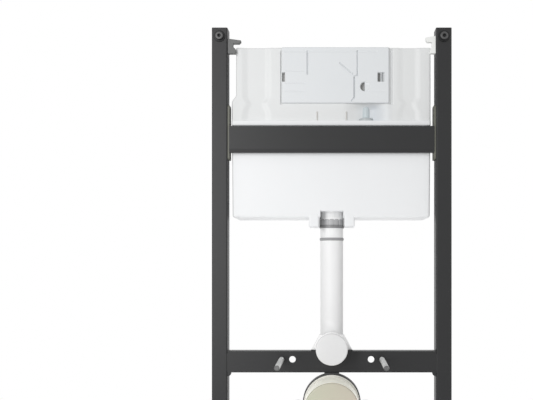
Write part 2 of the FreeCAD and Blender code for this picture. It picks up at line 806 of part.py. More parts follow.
def score_cover(body):
    """Break lines of the cover: a ladder of lines on the left, a jogged line and a brace on the right."""
    width = dim.cover_line_width
    left = cover_left + dim.cover_left_line
    right = cover_right - dim.cover_right_line
    jog = right - dim.cover_jog
    turn = cover_low + dim.cover_right_line_foot
    toe = cover_low + dim.cover_jog_foot
    top = tank_top - dim.cover_top_line
    lines = sketch_on(body, "XZ_Plane", cover_front)
    rectangle(lines, left - width, cover_low + dim.cover_left_line_foot, left, top)
    rectangle(lines, right, turn, right + width, top)
    start = cover_left + dim.cover_left_slot_width + width
    for rise in (dim.cover_rung_low, dim.cover_rung_middle, dim.cover_rung_high):
        rung = cover_low + rise
        rectangle(lines, start, rung, left - width * 2, rung + width)
    outline(lines, [
        (jog, turn - width),
        (jog - width, turn - width),
        (jog - width, toe),
        (jog - width - dim.cover_toe, toe - dim.cover_toe_drop),
        (jog - dim.cover_toe, toe - dim.cover_toe_drop),
        (jog, toe),
    ])
    brace = jog - width * 2
    outline(lines, [
        (brace, turn),
        (brace - dim.cover_brace_length, turn + dim.cover_brace_rise),
        (brace - dim.cover_brace_length - width, turn + dim.cover_brace_rise),
        (brace - width, turn),
    ])
    pocket(body, lines, dim.cover_line_depth)


def make_tank_clip(side, sign, top, thickness, reach, prong, opening, foot, foot_reach):
    """C-shaped clip on the upright, with a sloping prong over the tank and a foot before its corner."""
    body = piece(side + "_tank_clip")
    prong_low = top - prong
    foot_high = prong_low - opening
    profile = sketch_on(body, "XZ_Plane", dim.clip_setback)
    corners = [
        (0, foot_high - foot),
        (foot_reach, foot_high - foot),
        (foot_reach, foot_high - dim.clip_slant),
        (thickness, foot_high),
        (thickness, prong_low),
        (reach - dim.clip_slant, prong_low),
        (reach, prong_low + dim.clip_slant),
        (reach, top - dim.clip_slant),
        (0, top),
    ]
    outline(profile, [(-sign * inward, height) for inward, height in corners])
    pad(body, profile, tank_front - dim.fit_clearance - dim.clip_setback)
    place(body, sign * inner_face)


def bent_pipe(label, radius, wall, depth, high, low, bend, reach):
    """A pipe in the x = 0 plane with one right-angled bend: an upright leg and one to the front."""
    body = piece(label)
    ends_up = high.value > low.value
    turn = 1 if ends_up else -1
    corner = low + turn * bend
    for kind, across in (("Additive", radius), ("Subtractive", radius - wall)):
        spine = sketch_on(body, "YZ_Plane")
        outline(spine, [
            (depth, high),
            (depth, corner, bend, -turn),
            (depth - bend, low),
            (-reach, low),
        ], closed=False)
        ring = sketch_on(body, "XY_Plane", high)
        circle(ring, 0, depth, across)
        feature = body.newObject("PartDesign::%sPipe" % kind, "sweep")
        feature.Profile = ring
        feature.Spine = spine
        settle(feature)
    place(body)
    return body


def make_flush_line():
    """Flush pipe from the tank's outlet to the pan, with its gasket, nut, seal ring, holder and cap."""
    bore = dim.flush_radius + dim.fit_clearance
    pipe_top = tank_bottom + dim.flush_insertion
    bent_pipe("flush_pipe", dim.flush_radius, dim.flush_wall, dim.flush_depth, pipe_top,
              dim.flush_height, dim.flush_bend_radius, dim.flush_reach)
    collar("outlet_gasket", dim.flush_radius, dim.flush_radius - dim.outlet_gasket_wall,
           pipe_top, dim.tub_floor - dim.flush_insertion)
    collar("flush_seal", bore + dim.flush_seal_wall, bore,
           tank_bottom - dim.flush_seal_drop - dim.flush_seal_thickness / 2, dim.flush_seal_thickness)
    nut = collar("outlet_nut", dim.outlet_nut_radius, bore,
                 tank_bottom - dim.outlet_nut_height, dim.outlet_nut_height)
    cut_grips(nut)
    make_flush_holder()
    make_flush_cap()


def collar(label, outer, inner, low, height):
    """A plain ring round the flush pipe's upright leg."""
    body = piece(label)
    ring = sketch_on(body, "XY_Plane", low)
    circle(ring, 0, 0, outer)
    circle(ring, 0, 0, inner)
    pad(body, ring, height)
    place(body, 0, dim.flush_depth)
    return body


def cut_grips(body):
    """Finger grips round the nut: one upright groove, repeated about its axis."""
    low = tank_bottom - dim.outlet_nut_height
    groove = sketch_on(body, "XY_Plane", low)
    rectangle(groove, dim.outlet_nut_radius - dim.outlet_grip_depth, -dim.outlet_grip_width / 2,
              dim.outlet_nut_radius + dim.outlet_grip_depth, dim.outlet_grip_width / 2)
    first = pocket(body, groove, dim.outlet_nut_height)
    pattern = body.newObject("PartDesign::PolarPattern", "grips")
    pattern.Originals = [first]
    pattern.Axis = (groove, ["N_Axis"])
    pattern.Angle = 360
    bind(pattern, "Occurrences", dim.outlet_nut_grips)
    body.Tip = pattern
    settle(pattern)


def make_flush_holder():
    """Flared saddle that sits in the lower crossbar's notch and carries the flush pipe."""
    body = piece("flush_holder")
    bar_top = dim.lower_bar_height + dim.lower_bar_face
    setback = dim.bar_sheet + dim.fit_clearance
    base = dim.holder_base / 2
    top = dim.holder_top / 2
    around = dim.flush_radius + dim.holder_wall
    plate = sketch_on(body, "XZ_Plane", setback)
    outline(plate, [
        (-base, bar_top),
        (base, bar_top),
        (top, bar_top + dim.holder_rise),
        (-top, bar_top + dim.holder_rise),
    ])
    pad(body, plate, dim.holder_thickness)
    ring = sketch_on(body, "XZ_Plane", setback)
    circle(ring, 0, dim.flush_height, around)
    pad(body, ring, dim.holder_thickness)
    bore = sketch_on(body, "XZ_Plane", setback)
    circle(bore, 0, dim.flush_height, dim.flush_radius + dim.fit_clearance)
    pocket(body, bore, dim.holder_thickness)
    place(body)


def make_flush_cap():
    """Disc with a bevelled edge, and a skirt pushed over the flush pipe's mouth."""
    body = piece("flush_cap")
    inner = dim.flush_radius + dim.fit_clearance
    back = -dim.flush_reach
    front = back - dim.flush_cap_face
    profile = sketch_on(body, "YZ_Plane")
    outline(profile, [
        (front, 0),
        (front, dim.flush_cap_radius - dim.flush_cap_edge),
        (front + dim.flush_cap_edge, dim.flush_cap_radius),
        (back, dim.flush_cap_radius),
        (back, inner + dim.flush_cap_wall),
        (back + dim.flush_cap_skirt, inner + dim.flush_cap_wall),
        (back + dim.flush_cap_skirt, inner),
        (back, inner),
        (back, 0),
    ])
    revolve(body, profile, "H_Axis")
    place(body, 0, 0, dim.flush_height)


def make_waste_line():
    """Waste bend that turns down to an open spigot, with the clamp that hangs it and the cap on its mouth."""
    bent_pipe("waste_bend", dim.waste_radius, dim.waste_wall, dim.waste_depth, dim.waste_foot_height,
              dim.waste_height, dim.waste_bend_radius, dim.waste_reach)
    make_clamp_half("waste_clamp_top", 1)
    make_clamp_half("waste_clamp_bottom", -1)
    make_waste_cap()


def make_clamp_half(label, sign):
    """Part ring round the waste bend's front leg with a drilled ear on each side; the top one has a lug."""
    body = piece(label)
    outer = dim.waste_radius + dim.clamp_wall
    reach = outer + dim.clamp_ear_reach
    front = -dim.clamp_front_reach
    middle = -dim.clamp_split_drop
    split = middle + sign * dim.clamp_split / 2
    ring = sketch_on(body, "XZ_Plane", front)
    circle(ring, 0, 0, outer)
    pad(body, ring, dim.clamp_width)
    ears = sketch_on(body, "XZ_Plane", front)
    rectangle(ears, -reach, middle, reach, middle + sign * dim.clamp_ear_height / 2)
    pad(body, ears, dim.clamp_width)
    if sign > 0:
        lug = sketch_on(body, "XZ_Plane", front)
        rectangle(lug, -dim.clamp_lug_width / 2, 0,
                  dim.clamp_lug_width / 2, dim.lower_bar_height - dim.waste_height)
        pad(body, lug, dim.clamp_width)
    bore = sketch_on(body, "XZ_Plane", front)
    circle(bore, 0, 0, dim.waste_radius + dim.fit_clearance)
    pocket(body, bore, dim.clamp_width)
    other_half = sketch_on(body, "XZ_Plane", front)
    rectangle(other_half, -reach - outer, split, reach + outer, -sign * reach)
    pocket(body, other_half, dim.clamp_width)
    bolts = sketch_on(body, "XY_Plane", -outer)
    ear_middle = outer + dim.clamp_ear_reach / 2
    for side, across in SIDES:
        circle(bolts, across * ear_middle, front + dim.clamp_width / 2, dim.clamp_bolt_radius)
    pocket(body, bolts, outer * 2)
    place(body, 0, 0, dim.waste_height)


def make_waste_cap():
    """Deep cap with a bevelled front edge, pushed over the waste bend's mouth."""
    body = piece("waste_cap")
    inner = dim.waste_radius + dim.fit_clearance
    outer = inner + dim.cap_wall
    back = -dim.waste_reach
    front = back - dim.cap_face
    profile = sketch_on(body, "YZ_Plane")
    outline(profile, [
        (front, 0),
        (front, outer - dim.cap_edge),
        (front + dim.cap_edge, outer),
        (back + dim.cap_skirt, outer),
        (back + dim.cap_skirt, inner),
        (back, inner),
        (back, 0),
    ])
    revolve(body, profile, "H_Axis")
    place(body, 0, 0, dim.waste_height)


for side, sign in SIDES:
    make_upright(side, sign)
    make_leg(side, sign)
    make_foot_plate(side, sign)
    make_wall_bolt(side, sign)
    make_crossbar_bracket(side, sign)
    make_pan_stud(side, sign)
make_tank_clip("left", -1, tank_top + dim.left_clip_rise, dim.left_clip_sheet, dim.left_clip_reach,
               dim.left_clip_prong, dim.left_clip_gap, dim.left_clip_foot, dim.left_clip_foot_reach)
make_tank_clip("right", 1, tank_top + dim.right_clip_rise, dim.right_clip_sheet, dim.right_clip_reach,
               dim.right_clip_prong, dim.right_clip_gap, dim.right_clip_foot, dim.right_clip_foot_reach)
make_upper_crossbar()
make_lower_crossbar()
make_tank_upper()
make_tank_lower()
make_inlet_stub()
make_inspection_cover()
make_flush_line()
make_waste_line()

doc.recompute()
for item in doc.Objects:
    if "Invalid" in item.State or "Error" in item.State:
        raise RuntimeError("%s failed to build" % item.Label)
for made in pieces:
    if made.Shape.isNull() or not made.Shape.isValid():
        raise RuntimeError("%s has no sound shape" % made.Label)

os.makedirs("parts", exist_ok=True)
for made in pieces:
    made.Shape.exportStep("parts/%s.step" % made.Label)
    box = made.Shape.BoundBox
    print("%-24s solids %d  volume %9.0f  x %7.1f %7.1f  y %7.1f %7.1f  z %7.1f %7.1f" % (
        made.Label, len(made.Shape.Solids), made.Shape.Volume,
        box.XMin, box.XMax, box.YMin, box.YMax, box.ZMin, box.ZMax))
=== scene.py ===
import math

import bmesh
import bpy
import numpy as np
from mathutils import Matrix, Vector


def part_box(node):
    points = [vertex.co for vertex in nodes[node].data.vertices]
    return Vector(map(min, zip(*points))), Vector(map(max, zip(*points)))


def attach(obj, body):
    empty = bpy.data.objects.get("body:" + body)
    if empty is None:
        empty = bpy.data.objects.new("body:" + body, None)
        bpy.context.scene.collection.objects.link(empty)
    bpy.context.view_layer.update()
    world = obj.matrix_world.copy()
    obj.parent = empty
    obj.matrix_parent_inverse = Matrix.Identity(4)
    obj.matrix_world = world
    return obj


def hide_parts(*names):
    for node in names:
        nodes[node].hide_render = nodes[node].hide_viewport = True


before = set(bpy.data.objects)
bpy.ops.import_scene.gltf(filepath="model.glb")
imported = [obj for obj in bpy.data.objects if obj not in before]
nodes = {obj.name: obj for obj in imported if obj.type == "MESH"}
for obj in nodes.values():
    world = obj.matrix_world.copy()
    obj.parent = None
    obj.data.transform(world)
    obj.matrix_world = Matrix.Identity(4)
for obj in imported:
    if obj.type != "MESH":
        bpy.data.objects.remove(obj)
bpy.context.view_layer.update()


# The uprights, legs and foot plates are steel: square tubes with soft corners, the legs sliding inside
# the uprights on flat floor plates. They are cut, drilled and powder coated a dark matt grey.
class Strand:
    """One socket of a material's node tree. Arithmetic on strands adds Math nodes."""

    def __init__(self, tree, socket=None):
        self.tree = tree
        self.socket = socket

    def node(self, kind, settings, sockets, result=0):
        """Add a node of one type: its settings first, then a value or a strand for each socket."""
        made = self.tree.nodes.new(kind)
        for name, value in settings.items():
            setattr(made, name, value)
        for name, value in sockets.items():
            self.feed(made.inputs[name], value)
        return Strand(self.tree, made.outputs[result])

    def feed(self, socket, value):
        """Link a strand to a socket, or set the socket's own value."""
        if isinstance(value, Strand):
            self.tree.links.new(value.socket, socket)
        else:
            socket.default_value = value

    def math(self, operation, first, second=0.0):
        return self.node("ShaderNodeMath", {"operation": operation}, {0: first, 1: second})

    def __add__(self, other):
        return self.math("ADD", self, other)

    def __sub__(self, other):
        return self.math("SUBTRACT", self, other)

    def __rsub__(self, other):
        return self.math("SUBTRACT", other, self)

    def __mul__(self, other):
        return self.math("MULTIPLY", self, other)

    def ramp(self, low, high):
        """0 where this strand is at low or under, 1 at high or over, straight between."""
        return self.node("ShaderNodeMapRange", {}, {"Value": self, "From Min": low, "From Max": high})

    def inside(self, low, high, soft):
        """1 where this strand lies between two values, 0 outside, with soft edges."""
        return self.ramp(low - soft, low + soft) - self.ramp(high - soft, high + soft)

    def between(self, low, high):
        """A colour between two others, by this strand from 0 to 1."""
        return self.node("ShaderNodeMix", {"data_type": "RGBA"}, {0: self, 6: low, 7: high}, 2)

    def place(self, axis):
        """One of the object's own coordinates, in metres."""
        where = self.node("ShaderNodeTexCoord", {}, {}, "Object")
        return self.node("ShaderNodeSeparateXYZ", {}, {"Vector": where}, axis)

    def clouds(self, scale, detail=2.0, stretch=(1.0, 1.0, 1.0)):
        """Noise over the object's own coordinates, with about so many blotches to the metre."""
        where = self.node("ShaderNodeTexCoord", {}, {}, "Object")
        where = self.node("ShaderNodeVectorMath", {"operation": "MULTIPLY"}, {0: where, 1: stretch})
        return self.node("ShaderNodeTexNoise", {}, {"Vector": where, "Scale": scale, "Detail": detail})


def finish(name):
    """A new material: itself, a strand on its tree and its Principled shader."""
    made = bpy.data.materials.new(name)
    made.use_nodes = True
    return made, Strand(made.node_tree), made.node_tree.nodes["Principled BSDF"]


def relief(strand, shader, height, strength, depth):
    """Bump the shader's normal by a height of so many metres."""
    raised = strand.node("ShaderNodeBump", {}, {"Strength": strength, "Distance": depth, "Height": height})
    strand.feed(shader.inputs["Normal"], raised)


def coated(name, pale, deep, gloss, shine=0.5):
    """Sprayed coat: a slow drift between two shades, fine pale specks and an orange-peel relief."""
    made, strand, shader = finish(name)
    shader.inputs["Specular IOR Level"].default_value = shine
    drift = strand.clouds(14.0, 4.0)
    specks = strand.clouds(1700.0, 1.0).ramp(0.68, 0.8) * 0.25
    strand.feed(shader.inputs["Base Color"], (drift + specks).between(deep, pale))
    peel = strand.clouds(520.0, 2.0)
    strand.feed(shader.inputs["Roughness"], peel * 0.14 + gloss)
    relief(strand, shader, peel + strand.clouds(2600.0, 1.0) * 0.35, 0.35, 0.0003)
    return made


def dress(made, *names):
    """Give CAD nodes their one material."""
    for name in names:
        nodes[name].data.materials.clear()
        nodes[name].data.materials.append(made)


powder_coat = coated("powder_coat", (0.020, 0.0202, 0.021, 1), (0.016, 0.0162, 0.017, 1), 0.34, 0.32)
SIDES = (("left", -1), ("right", 1))
for side, sign in SIDES:
    dress(powder_coat, side + "_upright", side + "_leg", side + "_foot_plate")


# The lock screws hold each leg in its upright: hexagon-headed zinc screws with pressed washers, tapped
# into the drilled hole near the upright's foot.
def turned(profile, centre, axis, columns=72, swell=None, span=(0.0, 360.0)):
    """A profile of rows (along, radius) turned about an axis ("x", "y" or "z") through a centre.

    Each point is centre + along * axis + radius * (cos, sin) of its angle. A swell multiplies the radius:
    an array by row and column, such as the ratio of a hexagon's edge to its inner circle. A span of
    degrees turns it only part of the way.
    """
    along, radius = np.asarray(profile, float).T
    angle = np.radians(np.linspace(*span, columns + 1))
    spread = radius[:, None] * (np.ones(columns + 1) if swell is None else swell)
    row = np.broadcast_to(along[:, None], spread.shape)
    across = spread * np.cos(angle)
    up = spread * np.sin(angle)
    order = {"x": (row, across, up), "y": (across, row, up), "z": (across, up, row)}[axis]
    return np.stack(order, -1) + np.asarray(centre, float)


def rounded(corners, steps=5):
    """A run of points (a, b, radius): each corner with a radius becomes an arc that meets both its runs."""
    points = [np.array(corner[:2], float) for corner in corners]
    path = [points[0][None]]
    for before, here, after, corner in zip(points, points[1:], points[2:], corners[1:]):
        back = (before - here) / np.linalg.norm(before - here)
        ahead = (after - here) / np.linalg.norm(after - here)
        half = math.acos(np.clip(back @ ahead, -1.0, 1.0)) / 2.0
        if corner[2] == 0.0 or half > 1.5:
            path.append(here[None])
            continue
        middle = here + (back + ahead) / np.linalg.norm(back + ahead) * corner[2] / math.sin(half)
        start = here + back * corner[2] / math.tan(half) - middle
        turn = np.linspace(0.0, math.pi - 2.0 * half, steps + 1)[:, None]
        path.append(middle + np.cos(turn) * start - np.sin(turn) * corner[2] * back)
    return np.vstack(path + [points[-1][None]])


def hexagon(columns=72):
    """How far a hexagon's edge lies beyond its inner circle, by angle."""
    angle = np.linspace(0.0, 2.0 * np.pi, columns + 1)
    return 1.0 / np.cos((angle + np.pi / 6.0) % (np.pi / 3.0) - np.pi / 6.0)


def build(name, grids, made, replaced=(), crease=32.0):
    """One piece of the object from grids of points [rows, columns, xyz].

    Every cell of a grid becomes a face, doubles are merged so that seams and poles close, open rims get a
    flat face, and normals are turned outwards. Edges sharper than the crease, in degrees, stay hard.
    """
    merge_distance = 2e-6
    shortest_edge = 1e-7
    points = np.vstack([grid.reshape(-1, 3) for grid in grids])
    faces = []
    first = 0
    for grid in grids:
        number = first + np.arange(grid.shape[0] * grid.shape[1]).reshape(grid.shape[:2])
        cell = (number[:-1, :-1], number[:-1, 1:], number[1:, 1:], number[1:, :-1])
        faces.append(np.stack(cell, -1).reshape(-1, 4))
        first += number.size
    mesh = bpy.data.meshes.new(name)
    mesh.from_pydata(points.tolist(), [], np.vstack(faces).tolist())
    raw = bmesh.new()
    raw.from_mesh(mesh)
    bmesh.ops.remove_doubles(raw, verts=raw.verts, dist=merge_distance)
    bmesh.ops.dissolve_degenerate(raw, edges=raw.edges, dist=shortest_edge)
    rims = [edge for edge in raw.edges if edge.is_boundary]
    bmesh.ops.holes_fill(raw, edges=rims)
    bmesh.ops.recalc_face_normals(raw, faces=raw.faces)
    raw.to_mesh(mesh)
    raw.free()
    mesh.shade_smooth()
    mesh.set_sharp_from_angle(angle=math.radians(crease))
    mesh.materials.append(made)
    piece = bpy.data.objects.new(name, mesh)
    bpy.context.scene.collection.objects.link(piece)
    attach(piece, "root")
    if replaced:
        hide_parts(*replaced)
    return piece


def shaded(name, pale, deep, scale, detail):
    """A new material whose colour drifts between two shades: itself, a strand on its tree, its shader."""
    made, strand, shader = finish(name)
    strand.feed(shader.inputs["Base Color"], strand.clouds(scale, detail).between(deep, pale))
    return made, strand, shader


def grained(strand, shader, grain, share, gloss, strength):
    """Let a grain vary the roughness, by a share of it over the gloss, and raise a shallow relief."""
    strand.feed(shader.inputs["Roughness"], grain * share + gloss)
    relief(strand, shader, grain, strength, 0.0002)


def plated(name, pale, deep, gloss):
    """Bright plating: a metal with a faint yellow-blue drift, drawn streaks and a fine scratch relief."""
    made, strand, shader = shaded(name, pale, deep, 90.0, 3.0)
    shader.inputs["Metallic"].default_value = 1.0
    grained(strand, shader, strand.clouds(700.0, 3.0, (1.0, 0.15, 1.0)), 0.2, gloss, 0.2)
    return made


zinc = plated("bright_zinc", (0.66, 0.66, 0.64, 1), (0.46, 0.47, 0.48, 1), 0.22)
mm = 0.001
lock_rise = 26 * mm
lock_washer = 10 * mm
lock_washer_front = -1.6 * mm
lock_head = 6.5 * mm
lock_head_back = -1.5 * mm
lock_head_front = -7 * mm
lock_shank = 4 * mm
lock_reach = 12 * mm
washer = rounded([(0, lock_shank, 0), (0, lock_washer, 0), (lock_washer_front, lock_washer, 0.5 * mm),
                  (lock_washer_front, 0, 0)])
head = rounded([(lock_head_back, lock_head, 0), (lock_head_front + 0.8 * mm, lock_head, 0),
                (lock_head_front, lock_head * 0.86, 0), (lock_head_front, 0, 0)])
shank = rounded([(-1 * mm, lock_shank, 0), (lock_reach, lock_shank, 0.6 * mm), (lock_reach, 0, 0)])
for side, sign in SIDES:
    low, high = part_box(side + "_upright")
    centre = ((low.x + high.x) / 2, low.y, low.z + lock_rise)
    build(side + "_lock_screw",
          [turned(washer, centre, "y"), turned(head, centre, "y", swell=hexagon()),
           turned(shank, centre, "y")],
          zinc)


# The wall bolts run from the uprights' tops back to the wall: threaded zinc rods whose round heads are
# chemically blackened, with a socket for a hexagon key, a brighter ring of painted highlight round it and a
# blackened washer behind.
def threaded(start, end, radius, pitch, centre, columns=24, rows_per_turn=8, tip=1.5 * mm):
    """A screw thread along y: the radius dips by the thread's depth in a triangle wave that winds once
    round for every pitch along, and both ends are cut to a chamfer and closed."""
    depth = 0.61 * pitch
    count = int((end - start) / pitch * rows_per_turn)
    along = np.linspace(start, end, count)
    wound = along[:, None] / pitch - np.linspace(0.0, 1.0, columns + 1)
    wave = np.abs(2.0 * (wound % 1.0) - 1.0)
    chamfer = np.minimum(np.minimum(along - start, end - along) / tip, 1.0)[:, None]
    limit = radius - tip * (1.0 - chamfer)
    across = np.minimum(radius - depth * wave, limit)
    closed = np.zeros((1, columns + 1))
    rows = np.concatenate([along[:1], along, along[-1:]])
    profile = np.stack([rows, np.ones(count + 2)], -1)
    return turned(profile, centre, "y", columns, swell=np.vstack([closed, across, closed]))


def blackened(name, axis_across, axis_up, highlight_in, highlight_out):
    """Blackened steel with a painted highlight: a brighter ring round each bolt's axis, for the light the
    head's rim catches.
    """
    made, strand, shader = finish(name)
    shader.inputs["Metallic"].default_value = 0.7
    across = strand.math("ABSOLUTE", strand.place(0)) - axis_across
    up = strand.place(2) - axis_up
    away = strand.math("SQRT", across * across + up * up)
    # Painted highlight: the ring round the axis is coloured brighter.
    rim = away.inside(highlight_in, highlight_out, 0.5 * mm)
    stain = strand.clouds(260.0, 3.0)
    dark = stain.between((0.010, 0.0105, 0.011, 1), (0.020, 0.0205, 0.021, 1))
    strand.feed(shader.inputs["Base Color"], (rim * 0.8).between(dark, (0.095, 0.095, 0.095, 1)))
    grained(strand, shader, stain, 0.2, 0.34, 0.15)
    return made


def collar(near, far, inner, outer, soft=0.0):
    """The profile of a washer, nut or bolt between two radii, its outer edge rounded at the far end."""
    return rounded([(near, inner, 0), (near, outer, 0), (far, outer, soft), (far, inner, 0)])


bolt_low, bolt_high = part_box("right_wall_bolt")
bolt_across = (bolt_low.x + bolt_high.x) / 2
bolt_up = (bolt_low.z + bolt_high.z) / 2
head_front = bolt_low.y
head_radius = 9.2 * mm
highlight_radius = 4.4 * mm
socket_radius = 3.0 * mm
socket_floor = head_front + 4 * mm
washer_radius = bolt_high.x - bolt_across
washer_bore = 6 * mm
washer_front = -2 * mm
rod_radius = 5 * mm
rod_pitch = 1.5 * mm
rod_nut_radius = 8.5 * mm
rod_nut_height = 8 * mm
black_oxide = blackened("black_oxide", bolt_across, bolt_up, highlight_radius, head_radius)
upright_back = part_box("right_upright")[1].y
washer = collar(0, washer_front, washer_bore, washer_radius, 0.8 * mm)
head = rounded([(washer_front, head_radius, 0), (head_front, head_radius, 2.0 * mm),
                (head_front, socket_radius, 0.4 * mm), (socket_floor, socket_radius, 0),
                (socket_floor + 0.8 * mm, 0, 0)])
hollow = np.where((head[:, 1] <= socket_radius + 1e-9)[:, None], hexagon(), 1.0)
nut = collar(upright_back, upright_back + rod_nut_height, rod_radius, rod_nut_radius)
for side, sign in SIDES:
    centre = (sign * bolt_across, 0.0, bolt_up)
    build(side + "_wall_washer", [turned(washer, centre, "y")], black_oxide)
    build(side + "_wall_bolt_head", [turned(head, centre, "y", swell=hollow)],
          black_oxide, [side + "_wall_bolt"])
    build(side + "_wall_rod",
          [threaded(washer_front, bolt_high.y, rod_radius, rod_pitch, centre),
           turned(nut, centre, "y", swell=hexagon())],
          zinc)


# The upper crossbar is a folded sheet channel, tied to the uprights by two flat brackets in a duller,
# greenish grey coat. The brackets are welded along their back edges.
def bead(name, across, depth, foot, head):
    """An upright weld bead: a rod whose radius ripples with each drop of weld and closes at both ends."""
    rows, radius, drop, ripple_share = 90, 2.2 * mm, 2.6 * mm, 0.13
    up = np.linspace(foot, head, rows)
    taper = np.sqrt(np.clip(1.0 - np.abs(np.linspace(-1.0, 1.0, rows)) ** 24, 0.0, 1.0))
    ripple = 1.0 + ripple_share * np.abs(np.sin((up - foot) / drop * np.pi))
    profile = np.stack([up, radius * taper * ripple], -1)
    build(name, [turned(profile, (across, depth, 0.0), "z", 16)], powder_coat)


dress(powder_coat, "upper_crossbar", "lower_crossbar")
bracket_coat = coated("bracket_coat", (0.16, 0.16, 0.135, 1), (0.11, 0.11, 0.085, 1), 0.45)
bracket_margin = 12 * mm
for side, sign in SIDES:
    dress(bracket_coat, side + "_crossbar_bracket")
    low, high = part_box(side + "_crossbar_bracket")
    seam = max(abs(low.x), abs(high.x)) * sign
    bead(side + "_bracket_weld", seam, high.y, low.z + bracket_margin, high.z - bracket_margin)


# The lower crossbar carries the pan: the same folded sheet, welded between the uprights, with two open
# holes for a narrow pan. Its welds run up the back of its face.
bar_low, bar_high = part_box("lower_crossbar")
bar_sheet = 2.5 * mm
weld_margin = 9 * mm
for side, sign in SIDES:
    bead(side + "_crossbar_weld", sign * bar_high.x, bar_low.y + bar_sheet,
         bar_low.z + weld_margin, bar_high.z - weld_margin)


# The pan studs are zinc-plated threaded rods, screwed through the lower crossbar towards the user and
# locked behind its face with a washer and a hexagon nut. Their sawn ends are bare and dull.
def overlaid(made, share, colour):
    """Lay a colour over a material's own, by a strand from 0 to 1."""
    base = made.node_tree.nodes["Principled BSDF"].inputs["Base Color"]
    own = Strand(made.node_tree, base.links[0].from_socket)
    share.feed(base, share.between(own, colour))


stud_zinc = plated("stud_zinc", (0.74, 0.74, 0.72, 1), (0.24, 0.25, 0.26, 1), 0.26)
stud_low, stud_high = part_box("right_pan_stud")
stud_across = (stud_low.x + stud_high.x) / 2
stud_up = (stud_low.z + stud_high.z) / 2
stud_radius = stud_high.x - stud_across
stud_pitch = 1.75 * mm
stud_washer_radius = 12 * mm
stud_nut_radius = 9.4 * mm
nut_near = bar_sheet + 2.4 * mm
nut_far = nut_near + 10 * mm
behind_tip = Strand(stud_zinc.node_tree).place(1).ramp(stud_low.y + 1.0 * mm, stud_low.y + 2.5 * mm)
overlaid(stud_zinc, 1.0 - behind_tip, (0.15, 0.15, 0.15, 1))
washer = collar(bar_sheet, nut_near, stud_radius, stud_washer_radius, 0.5 * mm)
nut = collar(nut_near, nut_far, stud_radius, stud_nut_radius, 0.6 * mm)
for side, sign in SIDES:
    centre = (sign * stud_across, 0.0, stud_up)
    build(side + "_stud_rod", [threaded(stud_low.y, stud_high.y, stud_radius, stud_pitch, centre)],
          stud_zinc, [side + "_pan_stud"])
    build(side + "_stud_nut",
          [turned(washer, centre, "y"), turned(nut, centre, "y", swell=hexagon())], zinc)


# The tub is the lower half of the tank: white plastic, blow moulded in one piece with soft corners, and
# with a rim on which the upper shell is welded. Two tabs guard its outlet.
def moulded(name, pale, deep, gloss, grain):
    """Moulded plastic: a slow drift of shade, a fine grain and a little waviness from the cooling mould."""
    made, strand, shader = shaded(name, pale, deep, 8.0, 3.0)
    fine = strand.clouds(1900.0, 2.0)
    strand.feed(shader.inputs["Roughness"], fine * 0.12 + gloss)
    wave = strand.clouds(22.0, 1.0)
    relief(strand, shader, fine * grain + wave * 2.0, 0.25, 0.0003)
    return made


def smooth(amount):
    """0 under 0, 1 over 1, and an S-shaped rise between."""
    held = np.clip(amount, 0.0, 1.0)
    return held * held * (3.0 - 2.0 * held)


def ring_of_box(low, high, corner, fronts, inset, backs):
    """One turn round a box seen from above, anticlockwise from its front left corner.

    Straight runs and quarter arcs of a rounded rectangle, shrunk on all sides by an inset; the front and
    back runs have chosen numbers of points, the rest a few. The first point comes again at the end.
    """
    x0, x1 = low[0] + inset, high[0] - inset
    y0, y1 = low[1] + inset, high[1] - inset
    bend = max(min(corner, (x1 - x0) / 2, (y1 - y0) / 2) - inset * 0.5, 1e-5)
    bend = min(bend, (y1 - y0) / 2, (x1 - x0) / 2)
    turn = np.linspace(0.0, np.pi / 2.0, 9)[1:-1]

    def arc(centre_x, centre_y, start):
        angle = start + turn
        return np.stack([centre_x + bend * np.cos(angle), centre_y + bend * np.sin(angle)], -1)

    def run(ax, ay, bx, by, count):
        share = np.linspace(0.0, 1.0, count)[:, None]
        return np.array([ax, ay]) * (1.0 - share) + np.array([bx, by]) * share

    return np.vstack([
        run(x0 + bend, y0, x1 - bend, y0, fronts), arc(x1 - bend, y0 + bend, -np.pi / 2.0),
        run(x1, y0 + bend, x1, y1 - bend, 24), arc(x1 - bend, y1 - bend, 0.0),
        run(x1 - bend, y1, x0 + bend, y1, backs), arc(x0 + bend, y1 - bend, np.pi / 2.0),
        run(x0, y1 - bend, x0, y0 + bend, 24), arc(x0 + bend, y0 + bend, np.pi),
        [[x0 + bend, y0]],
    ])


def stacked(low, high, corner, fronts, levels, backs=12):
    """A box with soft edges as rings laid on each other: levels are rows (height, inset)."""
    rings = []
    for height, inset in levels:
        ring = ring_of_box(low, high, corner, fronts, inset, backs)
        rings.append(np.column_stack([ring, np.full(len(ring), height)]))
    return np.stack(rings)


tub_white = moulded("tub_white", (0.86, 0.87, 0.88, 1), (0.83, 0.84, 0.85, 1), 0.34, 0.6)
tub_low, tub_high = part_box("tank_lower")
tub_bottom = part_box("outlet_nut")[1].z
tub_corner = 4 * mm
tub_bottom_corner = 6 * mm
tub_draft = 2 * mm
rim_overhang = 4 * mm
rim_low = tub_high.z - 11 * mm
rim_corner = 4 * mm
rim_soft = 1.2 * mm
gasket_low, gasket_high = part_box("outlet_gasket")
pipe_depth = (gasket_low.y + gasket_high.y) / 2
notch_half = gasket_high.x
notch_height = 16 * mm
tab_near = 29.2 * mm
tab_far = 53.2 * mm
tab_front = tub_low.y + rim_overhang - 0.3 * mm
tab_back = pipe_depth + 25 * mm
tab_high = tub_bottom + 10 * mm
tab_corner = 4 * mm
tab_soft = 2 * mm


